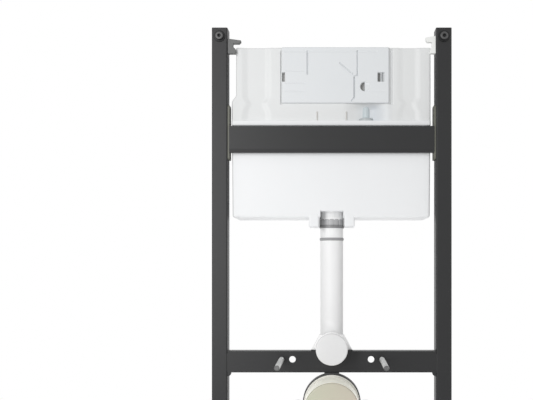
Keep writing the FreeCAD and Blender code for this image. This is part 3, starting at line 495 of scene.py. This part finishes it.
def soft_box(low, high, corner, soft):
    """A block with rounded upright edges and small rounds above and below, closed at both ends."""
    bend = np.linspace(0.0, np.pi / 2.0, 5)
    inset = soft * (1.0 - np.sin(bend))
    closed = min(high[0] - low[0], high[1] - low[1]) / 2.0
    rise = np.concatenate([[low[2]], low[2] + soft * (1.0 - np.cos(bend)),
                           high[2] - soft * (1.0 - np.cos(bend[::-1])), [high[2]]])
    inset = np.concatenate([[closed], inset, inset[::-1], [closed]])
    return stacked(low, high, corner, 12, np.column_stack([rise, inset]))


def back_flutes(x, y, z, back, foot, head):
    """How far the points of a flat back are drawn in: upright flutes at an even spacing, with soft walls
    and ends, and 0 for points that don't lie on the back."""
    spacing, half, soft, depth = 72 * mm, 15 * mm, 10 * mm, 3 * mm
    away = np.abs((x / spacing + 0.5) % 1.0 - 0.5) * spacing
    ends = smooth((z - foot) / soft) * smooth((head - z) / soft) * (np.abs(x) < 2.5 * spacing)
    return depth * smooth((half - away) / soft + 0.5) * ends * (y > back - 0.1 * mm)


def tub_surface():
    """The tub's body: rings of a rounded box that narrow downwards by the draft. Inside the notch over the
    outlet no point lies nearer to the front than the pipe's axis, and the back is fluted."""
    step = 1.5 * mm
    inward = [55 * mm, 40 * mm, 20 * mm]
    top = rim_low + 1 * mm
    flute_foot = tub_bottom + 20 * mm
    flute_head = rim_low - 14 * mm
    bend = np.linspace(0.0, np.pi / 2.0, 9)
    rise = np.arange(tub_bottom + tub_bottom_corner, top, step)
    levels = np.concatenate([
        np.column_stack([np.full(3, tub_bottom), inward]),
        np.column_stack([tub_bottom + tub_bottom_corner * (1.0 - np.cos(bend)),
                         tub_bottom_corner * (1.0 - np.sin(bend))]),
        np.column_stack([rise, np.zeros(len(rise))]),
        [[top, inward[0]]],
    ])
    fronts = int((tub_high.x - tub_low.x) / step)
    low = (tub_low.x, tub_low.y + rim_overhang)
    high = (tub_high.x, tub_high.y - rim_overhang)
    grid = stacked(low, high, tub_corner, fronts, levels, backs=120)
    x, y, z = grid[..., 0], grid[..., 1], grid[..., 2]
    middle = (low[0] + high[0]) / 2.0
    narrowed = tub_draft * (rim_low - z) / (rim_low - tub_bottom) / (high[0] - middle)
    x -= (x - middle) * narrowed
    notched = (np.abs(x) < notch_half) & (z < tub_bottom + notch_height)
    y[:] = np.where(notched, np.maximum(y, pipe_depth), y)
    y -= back_flutes(x, y, z, high[1], flute_foot, flute_head)
    return grid


rim = soft_box((tub_low.x, tub_low.y, rim_low), (tub_high.x, tub_high.y, tub_high.z), rim_corner, rim_soft)
tabs = []
for side, sign in SIDES:
    left, right = sorted((sign * tab_near, sign * tab_far))
    tabs.append(soft_box((left, tab_front, tub_low.z), (right, tab_back, tab_high), tab_corner, tab_soft))
build("tub", [tub_surface(), rim, *tabs], tub_white, ["tank_lower"], crease=40.0)


# The shell is the tank's upper half: translucent-white plastic, moulded with two pinched flutes that
# stiffen its front, an opening under the cover and a recess for the inlet stub, welded to the rim.
shell_low, shell_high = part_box("tank_upper")
cover_low, cover_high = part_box("inspection_cover")
stub_low, stub_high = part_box("inlet_stub")
shell_left, shell_right = tub_low.x, tub_high.x
shell_front = cover_high.y
shell_back = tub_high.y - 4 * mm
shell_corner = 3 * mm
shell_top_corner = 2.5 * mm
shell_neck = 10 * mm
flare_height = 60 * mm
flare_rise = 18 * mm
flare_reach = 24 * mm
flute_depth = 2.9 * mm
flute_wall = 17 * mm
flute_pinch = 8.5 * mm
pinch_up = shell_low.z + 40 * mm
pinch_above = 9 * mm
pinch_below = 14 * mm
flutes = ((shell_left + 21.5 * mm, 71 * mm), (shell_right - 79.5 * mm, 58 * mm))
rib_spacing = 67.5 * mm
rib_width = 3.4 * mm
rib_depth = 3 * mm
rib_near = (rib_spacing - rib_width) / 2
rib_far = (rib_spacing + rib_width) / 2
rib_foot = shell_low.z - 9 * mm
rib_head = shell_low.z + 21 * mm
groove = 3.2 * mm
groove_depth = 3.8 * mm
groove_head = shell_high.z - 8 * mm
cover_gap = 8.5 * mm
gap_near = cover_high.x - 2 * mm
gap_depth = 6 * mm
gap_head = shell_high.z - 4 * mm
opening_margin = 5 * mm
opening_depth = 14 * mm
stub_across = (stub_low.x + stub_high.x) / 2
recess_half = 31 * mm
recess_head = shell_low.z + 38 * mm
recess_depth = 15 * mm
recess_wall = 50 * mm
recess_slope = 26 * mm
tint_left = stub_across - 5 * mm
# The bluish patch reaches this far right to lay painted shade over the recess's right wall.
tint_and_shade_right = stub_across + 42 * mm
tint_soft = 22 * mm
dull_share = 0.6

# The plastic looks bluish round the stub, and duller on the two ribs. The bluish patch runs on over the
# recess's right wall as painted shade, damping the light that wall catches.
shell_white = moulded("shell_white", (0.77, 0.78, 0.78, 1), (0.74, 0.75, 0.75, 1), 0.36, 0.6)
strand = Strand(shell_white.node_tree)
across, up = strand.place(0), strand.place(2)
ahead = 1.0 - strand.place(1).ramp(shell_front + 20 * mm, shell_front + 30 * mm)
bluish_tint_and_shade = across.inside(tint_left, tint_and_shade_right, tint_soft) * up.inside(rib_foot, recess_head, 5 * mm)
ribs = strand.math("ABSOLUTE", across).inside(rib_near, rib_far, mm) * up.inside(rib_foot, rib_head, mm)
overlaid(shell_white, bluish_tint_and_shade * ahead, (0.60, 0.63, 0.66, 1))
overlaid(shell_white, ribs * ahead * dull_share, (0.57, 0.54, 0.49, 1))


def box_mask(x, z, x0, x1, z0, z1, edge):
    """1 inside a rectangle of the front, 0 outside, with an S-shaped rise over the width of its edge."""
    return (smooth((x - x0) / edge + 0.5) * smooth((x1 - x) / edge + 0.5)
            * smooth((z - z0) / edge + 0.5) * smooth((z1 - z) / edge + 0.5))


def shell_sunk(x, z):
    """How far the shell's front lies behind its plane: flutes, grooves, opening and recess, less the ribs.

    A flute runs from the rim to the top, and its half width narrows about its pinch by a bell curve of the
    height. Depths are the greatest of the cuts at a point, so that cuts that cross don't add up.
    """
    reach = np.where(z > pinch_up, pinch_above, pinch_below)
    waist = flute_pinch * np.exp(-((z - pinch_up) / reach) ** 2)
    foot = cover_low.z - groove / 2.0
    slope = np.clip((x - gap_near) / cover_gap, 0.0, 1.0)
    across = smooth((recess_half + recess_wall / 2.0 - np.abs(x - stub_across)) / recess_wall)
    cuts = [flute_depth * smooth((width / 2.0 - waist - np.abs(x - left - width / 2.0)) / flute_wall)
            for left, width in flutes]
    cuts.append(groove_depth * box_mask(x, z, cover_low.x - groove, cover_low.x,
                                        foot, groove_head, 1.5 * mm))
    cuts.append(gap_depth * slope * box_mask(x, z, gap_near, cover_high.x + cover_gap,
                                             foot, gap_head, 2.5 * mm))
    cuts.append(opening_depth * box_mask(x, z, cover_low.x + 1 * mm, cover_high.x - opening_margin,
                                         cover_low.z + opening_margin,
                                         cover_high.z - 2 * opening_margin, 1.2 * mm))
    cuts.append(recess_depth * across * smooth((recess_head - z) / recess_slope + 0.5))
    rib = box_mask(np.abs(x), z, rib_near, rib_far, rib_foot, rib_head, 1.6 * mm)
    return np.max(cuts, axis=0) - rib_depth * rib


def shell_surface():
    """The whole shell: rings of a rounded box, its left side drawn in to a neck above the flare, the
    points of its front run pushed back by shell_sunk and those of its back drawn in by flutes."""
    step = 1.2 * mm
    flute_foot = shell_low.z + 14 * mm
    flute_head = shell_high.z - 16 * mm
    fronts = int((shell_right - shell_left) / step)
    rise = np.arange(shell_low.z, shell_high.z - shell_top_corner, step)
    bend = np.linspace(0.0, np.pi / 2.0, 9)
    levels = np.concatenate([
        np.column_stack([np.full(2, shell_low.z), [55 * mm, 20 * mm]]),
        np.column_stack([rise, np.zeros(len(rise))]),
        np.column_stack([shell_high.z - shell_top_corner * (1.0 - np.sin(bend)),
                         shell_top_corner * (1.0 - np.cos(bend))]),
        np.column_stack([np.full(3, shell_high.z), [15 * mm, 35 * mm, 55 * mm]]),
    ])
    grid = stacked((shell_left, shell_front), (shell_right, shell_back), shell_corner, fronts, levels,
                   backs=120)
    x, y, z = grid[..., 0], grid[..., 1], grid[..., 2]
    drawn_in = shell_neck * smooth((z - shell_low.z - flare_height + flare_rise) / flare_rise)
    nearness = 1.0 - smooth((x - shell_left) / flare_reach)
    ahead = np.zeros(x.shape)
    ahead[:, :fronts] = (levels[:, 1] < shell_top_corner + 1e-9)[:, None]
    y += ahead * shell_sunk(x, z)
    y -= back_flutes(x, y, z, shell_back, flute_foot, flute_head)
    x += drawn_in * nearness
    return grid


build("shell", [shell_surface()], shell_white, ["tank_upper"], crease=40.0)


# The inspection cover is a plate of the same plastic, clipped over the opening in the shell. Break lines
# are moulded into it, and a few slots and a D-shaped hole let the fitter lift it off.
line_width = 3.2 * mm
line_depth = 3.6 * mm
edge_round = 2.2 * mm
slot_deep = 12 * mm
slot_half_deep = 7.5 * mm
back_frame = 6.5 * mm
back_frame_left = 0.4 * mm

# Painted shade: the colour darkens with the depth below the cover's front, for the shadowed inside that the
# slots and the D hole show.
cover_white = moulded("cover_white", (0.755, 0.775, 0.79, 1), (0.725, 0.745, 0.76, 1), 0.34, 0.6)
below = Strand(cover_white.node_tree).place(1).ramp(cover_low.y + 4.5 * mm, cover_low.y + 11 * mm)
overlaid(cover_white, below, (0.42, 0.42, 0.41, 1))


def line_mask(x, z, ax, az, bx, bz, width):
    """1 along the middle of a straight line between two points, falling to 0 at half its width."""
    run = np.array([bx - ax, bz - az])
    share = np.clip(((x - ax) * run[0] + (z - az) * run[1]) / (run @ run), 0.0, 1.0)
    away = np.hypot(x - ax - share * run[0], z - az - share * run[1])
    return smooth(2.2 * (1.0 - away / (width / 2.0)))


def cover_sunk(x, z):
    """How far the cover's face lies behind its front: rolled edges, break lines, slots and the D hole.

    Each break line is a row: its start across and up, its end across and up, and its share of the depth.
    """
    left, right = cover_low.x, cover_high.x
    foot, head = cover_low.z, cover_high.z
    edge = np.minimum(np.minimum(x - left, right - x), np.minimum(z - foot, head - z))
    rolled = 1.0 - np.clip(edge / edge_round, 0.0, 1.0)
    sunk = edge_round * (1.0 - np.sqrt(1.0 - rolled ** 2))
    ladder = left + 59 * mm
    jog = right - 80 * mm
    turn = foot + 64 * mm
    lines = (
        (ladder, foot + 67 * mm, ladder, head - 10 * mm, 1.0),
        (jog + 7 * mm, turn, jog + 7 * mm, head - 9 * mm, 1.0),
        (jog + 7 * mm, turn, jog, turn - 3 * mm, 0.8),
        (jog, turn - 3 * mm, jog, foot + 13 * mm, 1.25),
        (jog, foot + 13 * mm, jog - 6 * mm, foot + 5 * mm, 0.8),
        (jog - 3 * mm, turn + 2 * mm, jog - 33 * mm, turn + 28 * mm, 0.7),
        (left + 8 * mm, head - 10.5 * mm, right - 28 * mm, head - 10.5 * mm, 0.25),
        (left + 10 * mm, foot + 27 * mm, ladder - 5 * mm, foot + 27 * mm, 0.22),
        (left + 10 * mm, foot + 46 * mm, ladder - 5 * mm, foot + 46 * mm, 0.22),
        (left + 10 * mm, foot + 74 * mm, ladder - 5 * mm, foot + 74 * mm, 0.22),
        (jog + 10 * mm, foot + 27 * mm, right - 10 * mm, foot + 27 * mm, 0.12),
    )
    for ax, az, bx, bz, share in lines:
        sunk = np.maximum(sunk, share * line_depth * line_mask(x, z, ax, az, bx, bz, line_width))
    slot_foot, slot_head = foot + 49.5 * mm, foot + 70.5 * mm
    steep = 1.0 * mm
    slots = ((left - 2 * mm, left + 7 * mm, slot_deep), (right - 26 * mm, right - 19.5 * mm, slot_deep),
             (right - 17 * mm, right - 11 * mm, slot_half_deep))
    for near, far, depth in slots:
        sunk = np.maximum(sunk, depth * box_mask(x, z, near, far, slot_foot, slot_head, steep))
    hole_x, hole_z, hole_radius = right - 55.5 * mm, foot + 38 * mm, 10.5 * mm
    hole = smooth((hole_radius - np.hypot(x - hole_x, z - hole_z)) / steep + 0.5)
    shadowed = smooth((hole_x - 1 * mm - x) / steep + 0.5)
    return np.maximum(sunk, hole * (2 * mm + (slot_deep - 2 * mm) * shadowed))


def cover_surface():
    """The cover's face as a height field over its width and height, with a wall down to its back, which
    is a frame round the edge and a box behind the slots."""
    step = 0.75 * mm
    x = np.linspace(cover_low.x, cover_high.x, int((cover_high.x - cover_low.x) / step))
    z = np.linspace(cover_low.z, cover_high.z, int((cover_high.z - cover_low.z) / step))
    x = np.concatenate([x[:1], x, x[-1:]])
    z = np.concatenate([z[:1], z, z[-1:]])
    across, up = np.meshgrid(x, z)
    back = cover_low.y + cover_sunk(across, up)
    back[[0, -1], :] = cover_high.y
    back[:, [0, -1]] = cover_high.y
    face = np.stack([across, back, up], -1)
    border = np.concatenate([face[0], face[1:, -1], face[-1, -2::-1], face[-2::-1, 0]])
    inner = np.clip(border, (cover_low.x + back_frame_left, 0, cover_low.z + back_frame),
                    (cover_high.x - back_frame, 1, cover_high.z - back_frame))
    box_back = inner + (0, cover_low.y + slot_deep + mm - cover_high.y, 0)
    return [face, np.stack([border, inner, box_back])]


build("cover", cover_surface(), cover_white, ["inspection_cover"], crease=50.0)


# The inlet stub is a small flanged column of bluish glossy plastic, screwed into the rim inside the
# shell's recess, where the water supply's hose is joined.
def glossy(name, pale, deep, gloss):
    """Glossy plastic: a slow drift of shade under a smooth skin with a faint ripple."""
    made, strand, shader = shaded(name, pale, deep, 35.0, 2.0)
    grained(strand, shader, strand.clouds(900.0, 2.0), 0.08, gloss, 0.1)
    return made


stub_blue = glossy("stub_blue", (0.56, 0.62, 0.64, 1), (0.52, 0.58, 0.60, 1), 0.35)
stub_centre = (stub_across, (stub_low.y + stub_high.y) / 2, 0.0)
stub_radius = 9 * mm
stub_flange = stub_high.x - stub_across
stub_bore = 5 * mm
bore_low = stub_high.z - 20 * mm
flange_high = stub_low.z + 7 * mm
above_flange = Strand(stub_blue.node_tree).place(2).ramp(flange_high, flange_high + 2 * mm)
overlaid(stub_blue, 1.0 - above_flange, (0.46, 0.49, 0.50, 1))
stub_profile = rounded([
    (stub_low.z, 0, 0), (stub_low.z, stub_flange, 0.8 * mm), (flange_high, stub_flange, 1.5 * mm),
    (flange_high + 1 * mm, stub_radius * 1.15, 1 * mm), (flange_high + 3 * mm, stub_radius, 1 * mm),
    (stub_high.z, stub_radius, 1 * mm), (stub_high.z, stub_bore, 0.5 * mm),
    (bore_low, stub_bore, 0), (bore_low, 0, 0)])
build("stub", [turned(stub_profile, stub_centre, "z", 64)], stub_blue, ["inlet_stub"])


# The tank clips hold the tank's top corners to the uprights, one on each, each an injection-moulded C with
# softened edges, pushed into the upright's inner face. The left one's dark grey is painted shade, for the
# shade beside the left upright; the right one is pale.
clip_slant = 4 * mm
clip_soft = 0.9 * mm
clip_near, clip_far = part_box("left_tank_clip")[0].y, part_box("left_tank_clip")[1].y


def clip_outline(side, sign, spine, prong, opening, foot, foot_reach):
    """The clip's C: a sloping prong above, the spine on the upright, and a sloping foot below."""
    low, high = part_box(side + "_tank_clip")
    root = max(abs(low.x), abs(high.x))
    reach = high.x - low.x
    shelf = high.z - prong
    foot_high = shelf - opening
    inward = [(0, foot_high - foot), (foot_reach, foot_high - foot), (foot_reach, foot_high - clip_slant),
              (spine, foot_high), (spine, shelf), (reach - clip_slant, shelf), (reach, shelf + clip_slant),
              (reach, high.z - clip_slant), (0, high.z)]
    return np.array([(sign * (root - along), height) for along, height in inward])


def clip(name, outline, made, replaced):
    """An outline of points (x, z) carried from the clips' front to their back, with its edges bevelled."""
    ring = np.vstack([outline, outline[:1]])
    ends = [np.column_stack([ring[:, 0], np.full(len(ring), depth), ring[:, 1]])
            for depth in (clip_near, clip_far)]
    bevel = build(name, [np.stack(ends)], made, replaced).modifiers.new("softened", "BEVEL")
    bevel.width = clip_soft
    bevel.segments = 3
    bevel.limit_method = "ANGLE"
    bevel.angle_limit = math.radians(40)


# Painted shade: the left clip's dark grey stands for the shade beside the left upright.
clip_grey = moulded("clip_grey", (0.145, 0.147, 0.145, 1), (0.11, 0.112, 0.11, 1), 0.42, 1.0)
clip_pale = moulded("clip_pale", (0.89, 0.90, 0.88, 1), (0.86, 0.87, 0.85, 1), 0.40, 1.0)
clip("shaded_grey_clip", clip_outline("left", -1, spine=12.5 * mm, prong=11.5 * mm, opening=8 * mm,
                               foot=15 * mm, foot_reach=18 * mm),
     clip_grey, ["left_tank_clip"])
clip("pale_clip", clip_outline("right", 1, spine=8.5 * mm, prong=14.5 * mm, opening=12 * mm,
                               foot=14 * mm, foot_reach=13 * mm),
     clip_pale, ["right_tank_clip"])


# The outlet: a grey rubber gasket in the tub's notch and a ribbed ring nut that draws the flush pipe up
# against it. A thin rubber ring lower down seals the pipe's sleeve.
def rubber(name, pale, deep):
    """Moulded rubber: dull, with a dusty bloom and a fine grain."""
    made, strand, shader = shaded(name, pale, deep, 120.0, 4.0)
    grained(strand, shader, strand.clouds(1500.0, 2.0), 0.15, 0.55, 0.3)
    return made


seal_rubber = rubber("seal_rubber", (0.36, 0.36, 0.365, 1), (0.29, 0.29, 0.295, 1))
gasket_grey = rubber("gasket_grey", (0.88, 0.88, 0.88, 1), (0.84, 0.84, 0.84, 1))
nut_grey = glossy("nut_grey", (0.45, 0.45, 0.455, 1), (0.39, 0.39, 0.395, 1), 0.3)
dress(gasket_grey, "outlet_gasket")
pipe_low, pipe_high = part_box("flush_pipe")
pipe_radius = pipe_high.x
pipe_axis = (0.0, pipe_depth, 0.0)
nut_low, nut_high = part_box("outlet_nut")
nut_radius = 29 * mm
nut_lip = nut_low.z + 4 * mm
nut_columns = 168
grip_radius = nut_radius - 0.6 * mm
grip_count = 14
grip_depth = 0.035
above_lip = Strand(nut_grey.node_tree).place(2).ramp(nut_low.z + 7 * mm, nut_low.z + 8.5 * mm)
overlaid(nut_grey, 1.0 - above_lip, (0.23, 0.23, 0.232, 1))
nut_profile = rounded([
    (nut_low.z, pipe_radius, 0), (nut_low.z, nut_radius, 1.2 * mm), (nut_lip, nut_radius, 0.5 * mm),
    (nut_lip + 0.6 * mm, grip_radius, 0.3 * mm), (nut_high.z - 3 * mm, grip_radius, 1.5 * mm),
    (nut_high.z, nut_radius - 2.5 * mm, 0), (nut_high.z, pipe_radius, 0)])
grip_angle = np.linspace(0.0, 2.0 * np.pi, nut_columns + 1)
grips = 1.0 - grip_depth * smooth(np.cos(grip_angle * grip_count) * 3.0 - 1.4)
rise, spread = nut_profile.T[:, :, None]
gripped = np.where((rise > nut_lip + 0.3 * mm) & (spread > nut_radius - 3 * mm), grips, 1.0)
build("ring_nut", [turned(nut_profile, pipe_axis, "z", nut_columns, gripped)],
      nut_grey, ["outlet_nut"])
ring_low, ring_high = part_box("flush_seal")
ring_half = (ring_high.z - ring_low.z) / 2
ring_bore = pipe_radius - 1.0 * mm
bulge = np.linspace(0.0, np.pi, 12)
ring_profile = np.column_stack([ring_low.z + ring_half * (1.0 - np.cos(bulge)),
                                ring_bore + (ring_high.x - ring_bore) * np.sin(bulge) ** 0.6])
build("seal_ring", [turned(ring_profile, pipe_axis, "z", 96)], seal_rubber, ["flush_seal"])


# The flush pipe is glossy white plastic: it comes straight down from the tank, turns to the front in one
# bend, and ends in the mouth that the pan's spigot enters, closed for transport by a white cap.
def piped(path, radius, bore, columns=72):
    """A round pipe along a path (y, z) in the plane x = 0: at each point a circle across the path's run,
    outside from start to end and inside back again, so that the wall is closed."""
    run = np.gradient(path, axis=0)
    run /= np.linalg.norm(run, axis=1)[:, None]
    across = np.stack([-run[:, 1], run[:, 0]], -1)
    angle = np.linspace(0.0, 2.0 * np.pi, columns + 1)
    grids = []
    for size in (radius, bore):
        flat = path[:, None, :] + size * np.sin(angle)[None, :, None] * across[:, None, :]
        side = np.broadcast_to(size * np.cos(angle), flat.shape[:2])
        grids.append(np.concatenate([side[..., None], flat], -1))
    return np.concatenate([grids[0], grids[1][::-1], grids[0][:1]])


def bent(start, turn, end, radius):
    """A pipe's path (y, z): straight from its start, round one turn of a radius, straight to its end."""
    path = rounded([(*start, 0), (*turn, radius), (*end, 0)], 28)
    return np.vstack([np.linspace(path[0], path[1], 6)[:-1], path[1:]])


pipe_white = glossy("pipe_white", (0.90, 0.90, 0.90, 1), (0.88, 0.88, 0.88, 1), 0.5)
cap_white = glossy("cap_white", (0.76, 0.76, 0.76, 1), (0.73, 0.73, 0.73, 1), 0.34)
pipe_height = 390 * mm
pipe_turn = 58 * mm
pipe_wall = 3 * mm
pipe_path = bent((pipe_depth, pipe_high.z), (pipe_depth, pipe_height), (pipe_low.y, pipe_height), pipe_turn)
build("pipe", [piped(pipe_path, pipe_radius, pipe_radius - pipe_wall)],
      pipe_white, ["flush_pipe"])
cap_low, cap_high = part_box("flush_cap")
cap_radius = cap_high.x + 1.4 * mm
cap_skirt = pipe_radius + 3.2 * mm
cap_bore = pipe_radius + 0.2 * mm
cap_back = cap_low.y + 7 * mm
cap_profile = rounded([
    (cap_low.y, 0, 0), (cap_low.y, cap_radius, 3 * mm), (cap_back, cap_radius, 1 * mm),
    (cap_back, cap_skirt, 1 * mm), (cap_high.y, cap_skirt, 0.8 * mm), (cap_high.y, cap_bore, 0),
    (cap_back, cap_bore, 0), (cap_back, 0, 0)])
build("pipe_cap", [turned(cap_profile, (0.0, 0.0, pipe_height), "y", 96)],
      cap_white, ["flush_cap"])
dress(pipe_white, "flush_holder")


# The waste bend is black plastic pipe from the pan's outlet down to the soil pipe, hung from the lower
# crossbar in a thin steel clamp lined with pale rubber, and closed in front by a cream transport cap.
waste_black = moulded("waste_black", (0.035, 0.035, 0.037, 1), (0.024, 0.024, 0.026, 1), 0.36, 1.0)
bend_low, bend_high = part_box("waste_bend")
waste_cap_low, waste_cap_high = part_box("waste_cap")
waste_radius = bend_high.x
waste_height = (waste_cap_low.z + waste_cap_high.z) / 2
waste_depth = 77 * mm
waste_turn = 60 * mm
waste_wall = 5 * mm
waste_path = bent((waste_depth, bend_low.z), (waste_depth, waste_height), (bend_low.y, waste_height),
                  waste_turn)
build("bend", [piped(waste_path, waste_radius, waste_radius - waste_wall, 96)],
      waste_black, ["waste_bend"])
clamp_black = coated("clamp_black", (0.035, 0.035, 0.037, 1), (0.022, 0.022, 0.024, 1), 0.4)
lining_pale = rubber("lining_pale", (0.82, 0.81, 0.76, 1), (0.76, 0.75, 0.70, 1))
clamp_low, clamp_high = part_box("waste_clamp_top")
clamp_middle = (clamp_low.y + clamp_high.y) / 2
clamp_centre = (0.0, 0.0, waste_height)
band = 2.2 * mm
band_soft = 0.6 * mm
ring_radius = waste_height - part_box("waste_clamp_bottom")[0].z
ear_high = waste_height - 1 * mm
ear_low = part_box("waste_clamp_bottom")[1].z
ear_foot = waste_height - 27 * mm
ear_root = ring_radius - 5 * mm
lug_half = 17 * mm
lug_low = waste_height + ring_radius - 2 * mm


def part_ring(inner, outer, margin, span):
    """Part of a flat ring about the waste's mouth: a rectangle with softened edges, turned by a span."""
    near, far = clamp_low.y + margin, clamp_high.y - margin
    middle = (inner + outer) / 2
    edge = rounded([(near, middle, 0), (near, outer, band_soft), (far, outer, band_soft),
                    (far, inner, band_soft), (near, inner, band_soft), (near, middle, 0)])
    return turned(edge, clamp_centre, "y", 96, span=span)


def clamp_ears(foot, head):
    """The two ears of one half of the clamp, from the band out to the box's side."""
    ears = []
    for side, sign in SIDES:
        left, right = sorted((sign * ear_root, sign * clamp_high.x))
        ears.append(soft_box((left, clamp_low.y, foot), (right, clamp_high.y, head), 2 * mm, 1 * mm))
    return ears


dip = math.degrees(math.asin((waste_height - clamp_low.z) / ring_radius))
dip_low = math.degrees(math.asin((waste_height - ear_low) / ring_radius))
upper_span = (-dip, 180.0 + dip)
lower_span = (180.0 + dip_low, 360.0 - dip_low)
lug = soft_box((-lug_half, clamp_low.y + 1 * mm, lug_low), (lug_half, clamp_high.y - 1 * mm, clamp_high.z),
               2 * mm, 0.5 * mm)
build("clamp_top", [part_ring(ring_radius - band, ring_radius, 0.0, upper_span), lug,
                    *clamp_ears(clamp_low.z, ear_high)], clamp_black, ["waste_clamp_top"])
build("clamp_bottom", [part_ring(ring_radius - band, ring_radius, 0.0, lower_span),
                       *clamp_ears(ear_foot, ear_low)], clamp_black, ["waste_clamp_bottom"])
for part, span in (("top", upper_span), ("bottom", lower_span)):
    build("clamp_lining_" + part, [part_ring(waste_radius + 0.1 * mm, ring_radius - band, 0.8 * mm, span)],
          lining_pale)
clamp_bolt_across = clamp_high.x - 11 * mm
clamp_bolt_radius = 4 * mm
clamp_bolt_foot = ear_foot - 12 * mm
clamp_head_radius = 6.5 * mm
clamp_head_height = 5 * mm
clamp_nut_height = 6.5 * mm
head = collar(ear_high, ear_high + clamp_head_height, 0, clamp_head_radius, 0.6 * mm)
shank = collar(ear_high + mm, clamp_bolt_foot, 0, clamp_bolt_radius, 0.8 * mm)
nut = collar(ear_foot, ear_foot - clamp_nut_height, 0, clamp_head_radius, 0.6 * mm)
for side, sign in SIDES:
    centre = (sign * clamp_bolt_across, clamp_middle, 0.0)
    build(side + "_clamp_bolt", [turned(head, centre, "z", swell=hexagon()), turned(shank, centre, "z"),
                                 turned(nut, centre, "z", swell=hexagon())], zinc)


def cap_plastic_painted_light(name, face, skirt, through, face_depth):
    """The cap's plastic: beige over its face, paler down its thinner skirt; the skirt's paler colour and its
    glow are painted light, for the light from above and the light through the thin plastic.
    """
    made, strand, shader = finish(name)
    drift = strand.clouds(16.0, 3.0)
    behind = strand.place(1).ramp(face_depth - 0.6 * mm, face_depth + 0.6 * mm)
    side = strand.place(0).ramp(-60 * mm, 60 * mm)
    beige = (drift * 0.5 + side * 0.5).between(face[0], face[1])
    strand.feed(shader.inputs["Base Color"], behind.between(beige, skirt))
    # Painted light: the skirt glows, for light coming through its thin plastic.
    shader.inputs["Emission Strength"].default_value = 1.0
    strand.feed(shader.inputs["Emission Color"], behind.between((0, 0, 0, 1), through))
    grained(strand, shader, strand.clouds(1300.0, 2.0), 0.12, 0.36, 0.2)
    return made


# The skirt's pale colour and its glow are painted light.
cap_cream = cap_plastic_painted_light("cap_cream", ((0.49, 0.515, 0.39, 1), (0.56, 0.49, 0.415, 1)), (0.86, 0.85, 0.78, 1),
                      (0.23, 0.226, 0.195, 1), waste_cap_low.y + 3.5 * mm)
cap_outer = waste_cap_high.x
cap_inner = waste_radius + 0.2 * mm
cap_floor = waste_cap_low.y + 6 * mm
waste_cap_profile = rounded([
    (waste_cap_low.y, 0, 0), (waste_cap_low.y, cap_outer, 3.5 * mm),
    (waste_cap_high.y - 3 * mm, cap_outer, 1.5 * mm), (waste_cap_high.y, cap_outer - 1 * mm, 0.5 * mm),
    (waste_cap_high.y, cap_inner, 0), (cap_floor, cap_inner, 0), (cap_floor, 0, 0)])
build("waste_cover", [turned(waste_cap_profile, (0.0, 0.0, waste_height), "y", 128)],
      cap_cream, ["waste_cap"])


# The studio: a pale floor that fades into white, white all round, a tall soft key lamp from the left
# front, a weak fill, a soft light table below, and the camera level with the flush pipe, as in the photo.
frame_wide = 533
frame_high = 400
axis_across = 331.75
axis_down = 262.0
front_scale = 2.29 * mm
camera_distance = 1.65
camera_height = 583 * mm
sensor = 36.0
camera = bpy.data.objects.new("camera", bpy.data.cameras.new("camera"))
bpy.context.scene.collection.objects.link(camera)
camera.data.sensor_fit = "HORIZONTAL"
camera.data.sensor_width = sensor
camera.data.lens = camera_distance / front_scale / frame_wide * sensor
camera.data.shift_x = (frame_wide / 2 - axis_across) / frame_wide
camera.data.shift_y = (axis_down - frame_high / 2) / frame_wide
camera.location = (0.0, -camera_distance, camera_height)
camera.rotation_euler = (math.pi / 2, 0.0, 0.0)
bpy.context.scene.camera = camera

floor_reach = 1.3
floor_sides = 64
floor_drop = 0.5 * mm
fade_start = 0.55
fade_end = floor_reach - 0.05
floor_mesh = bpy.data.meshes.new("floor")
floor_turn = np.linspace(0.0, 2.0 * np.pi, floor_sides + 1)[:-1]
floor_edge = np.column_stack([floor_reach * np.cos(floor_turn), floor_reach * np.sin(floor_turn),
                              np.full(floor_sides, -floor_drop)])
floor_mesh.from_pydata(floor_edge.tolist(), [], [list(range(floor_sides))])
floor = bpy.data.objects.new("floor", floor_mesh)
bpy.context.scene.collection.objects.link(floor)
floor_pale, strand, shader = finish("floor_pale")
shader.inputs["Base Color"].default_value = (0.85, 0.85, 0.85, 1)
shader.inputs["Roughness"].default_value = 0.8
away = strand.math("SQRT", strand.place(0) * strand.place(0) + strand.place(1) * strand.place(1))
strand.feed(shader.inputs["Alpha"], 1.0 - away.ramp(fade_start, fade_end))
floor_mesh.materials.append(floor_pale)

world = bpy.data.worlds.new("studio")
bpy.context.scene.world = world
world.use_nodes = True
air = Strand(world.node_tree)
backdrop = world.node_tree.nodes["Background"]
rays = [air.node("ShaderNodeLightPath", {}, {}, kind)
        for kind in ("Is Camera Ray", "Is Glossy Ray", "Is Transmission Ray")]
shown = air.math("MINIMUM", rays[0] + rays[1] + rays[2], 1.0)
ambient = 0.42
backdrop.inputs["Color"].default_value = (1, 1, 1, 1)
air.feed(backdrop.inputs["Strength"], shown * (1.0 - ambient) + ambient)


def lamp(name, place, aim, width, height, power):
    """A rectangular soft lamp at one place, facing another and hidden from the camera."""
    data = bpy.data.lights.new(name, "AREA")
    data.shape = "RECTANGLE"
    data.size = width
    data.size_y = height
    data.energy = power
    made = bpy.data.objects.new(name, data)
    made.location = place
    made.rotation_euler = (Vector(aim) - Vector(place)).to_track_quat("-Z", "Y").to_euler()
    made.visible_camera = False
    bpy.context.scene.collection.objects.link(made)
    return made


lamp("key", place=(-0.95, -1.9, 0.95), aim=(0.0, 0.0, 0.7), width=0.5, height=1.8, power=26.0)
lamp("fill", place=(2.0, -1.8, 1.2), aim=(0.0, 0.0, 0.65), width=1.5, height=1.5, power=8.0)
table = lamp("table", place=(0.0, 0.09, 0.02), aim=(0.0, 0.09, 1.0), width=0.9, height=0.7, power=3.7)
table.visible_glossy = False

bpy.context.scene.view_settings.view_transform = "Standard"
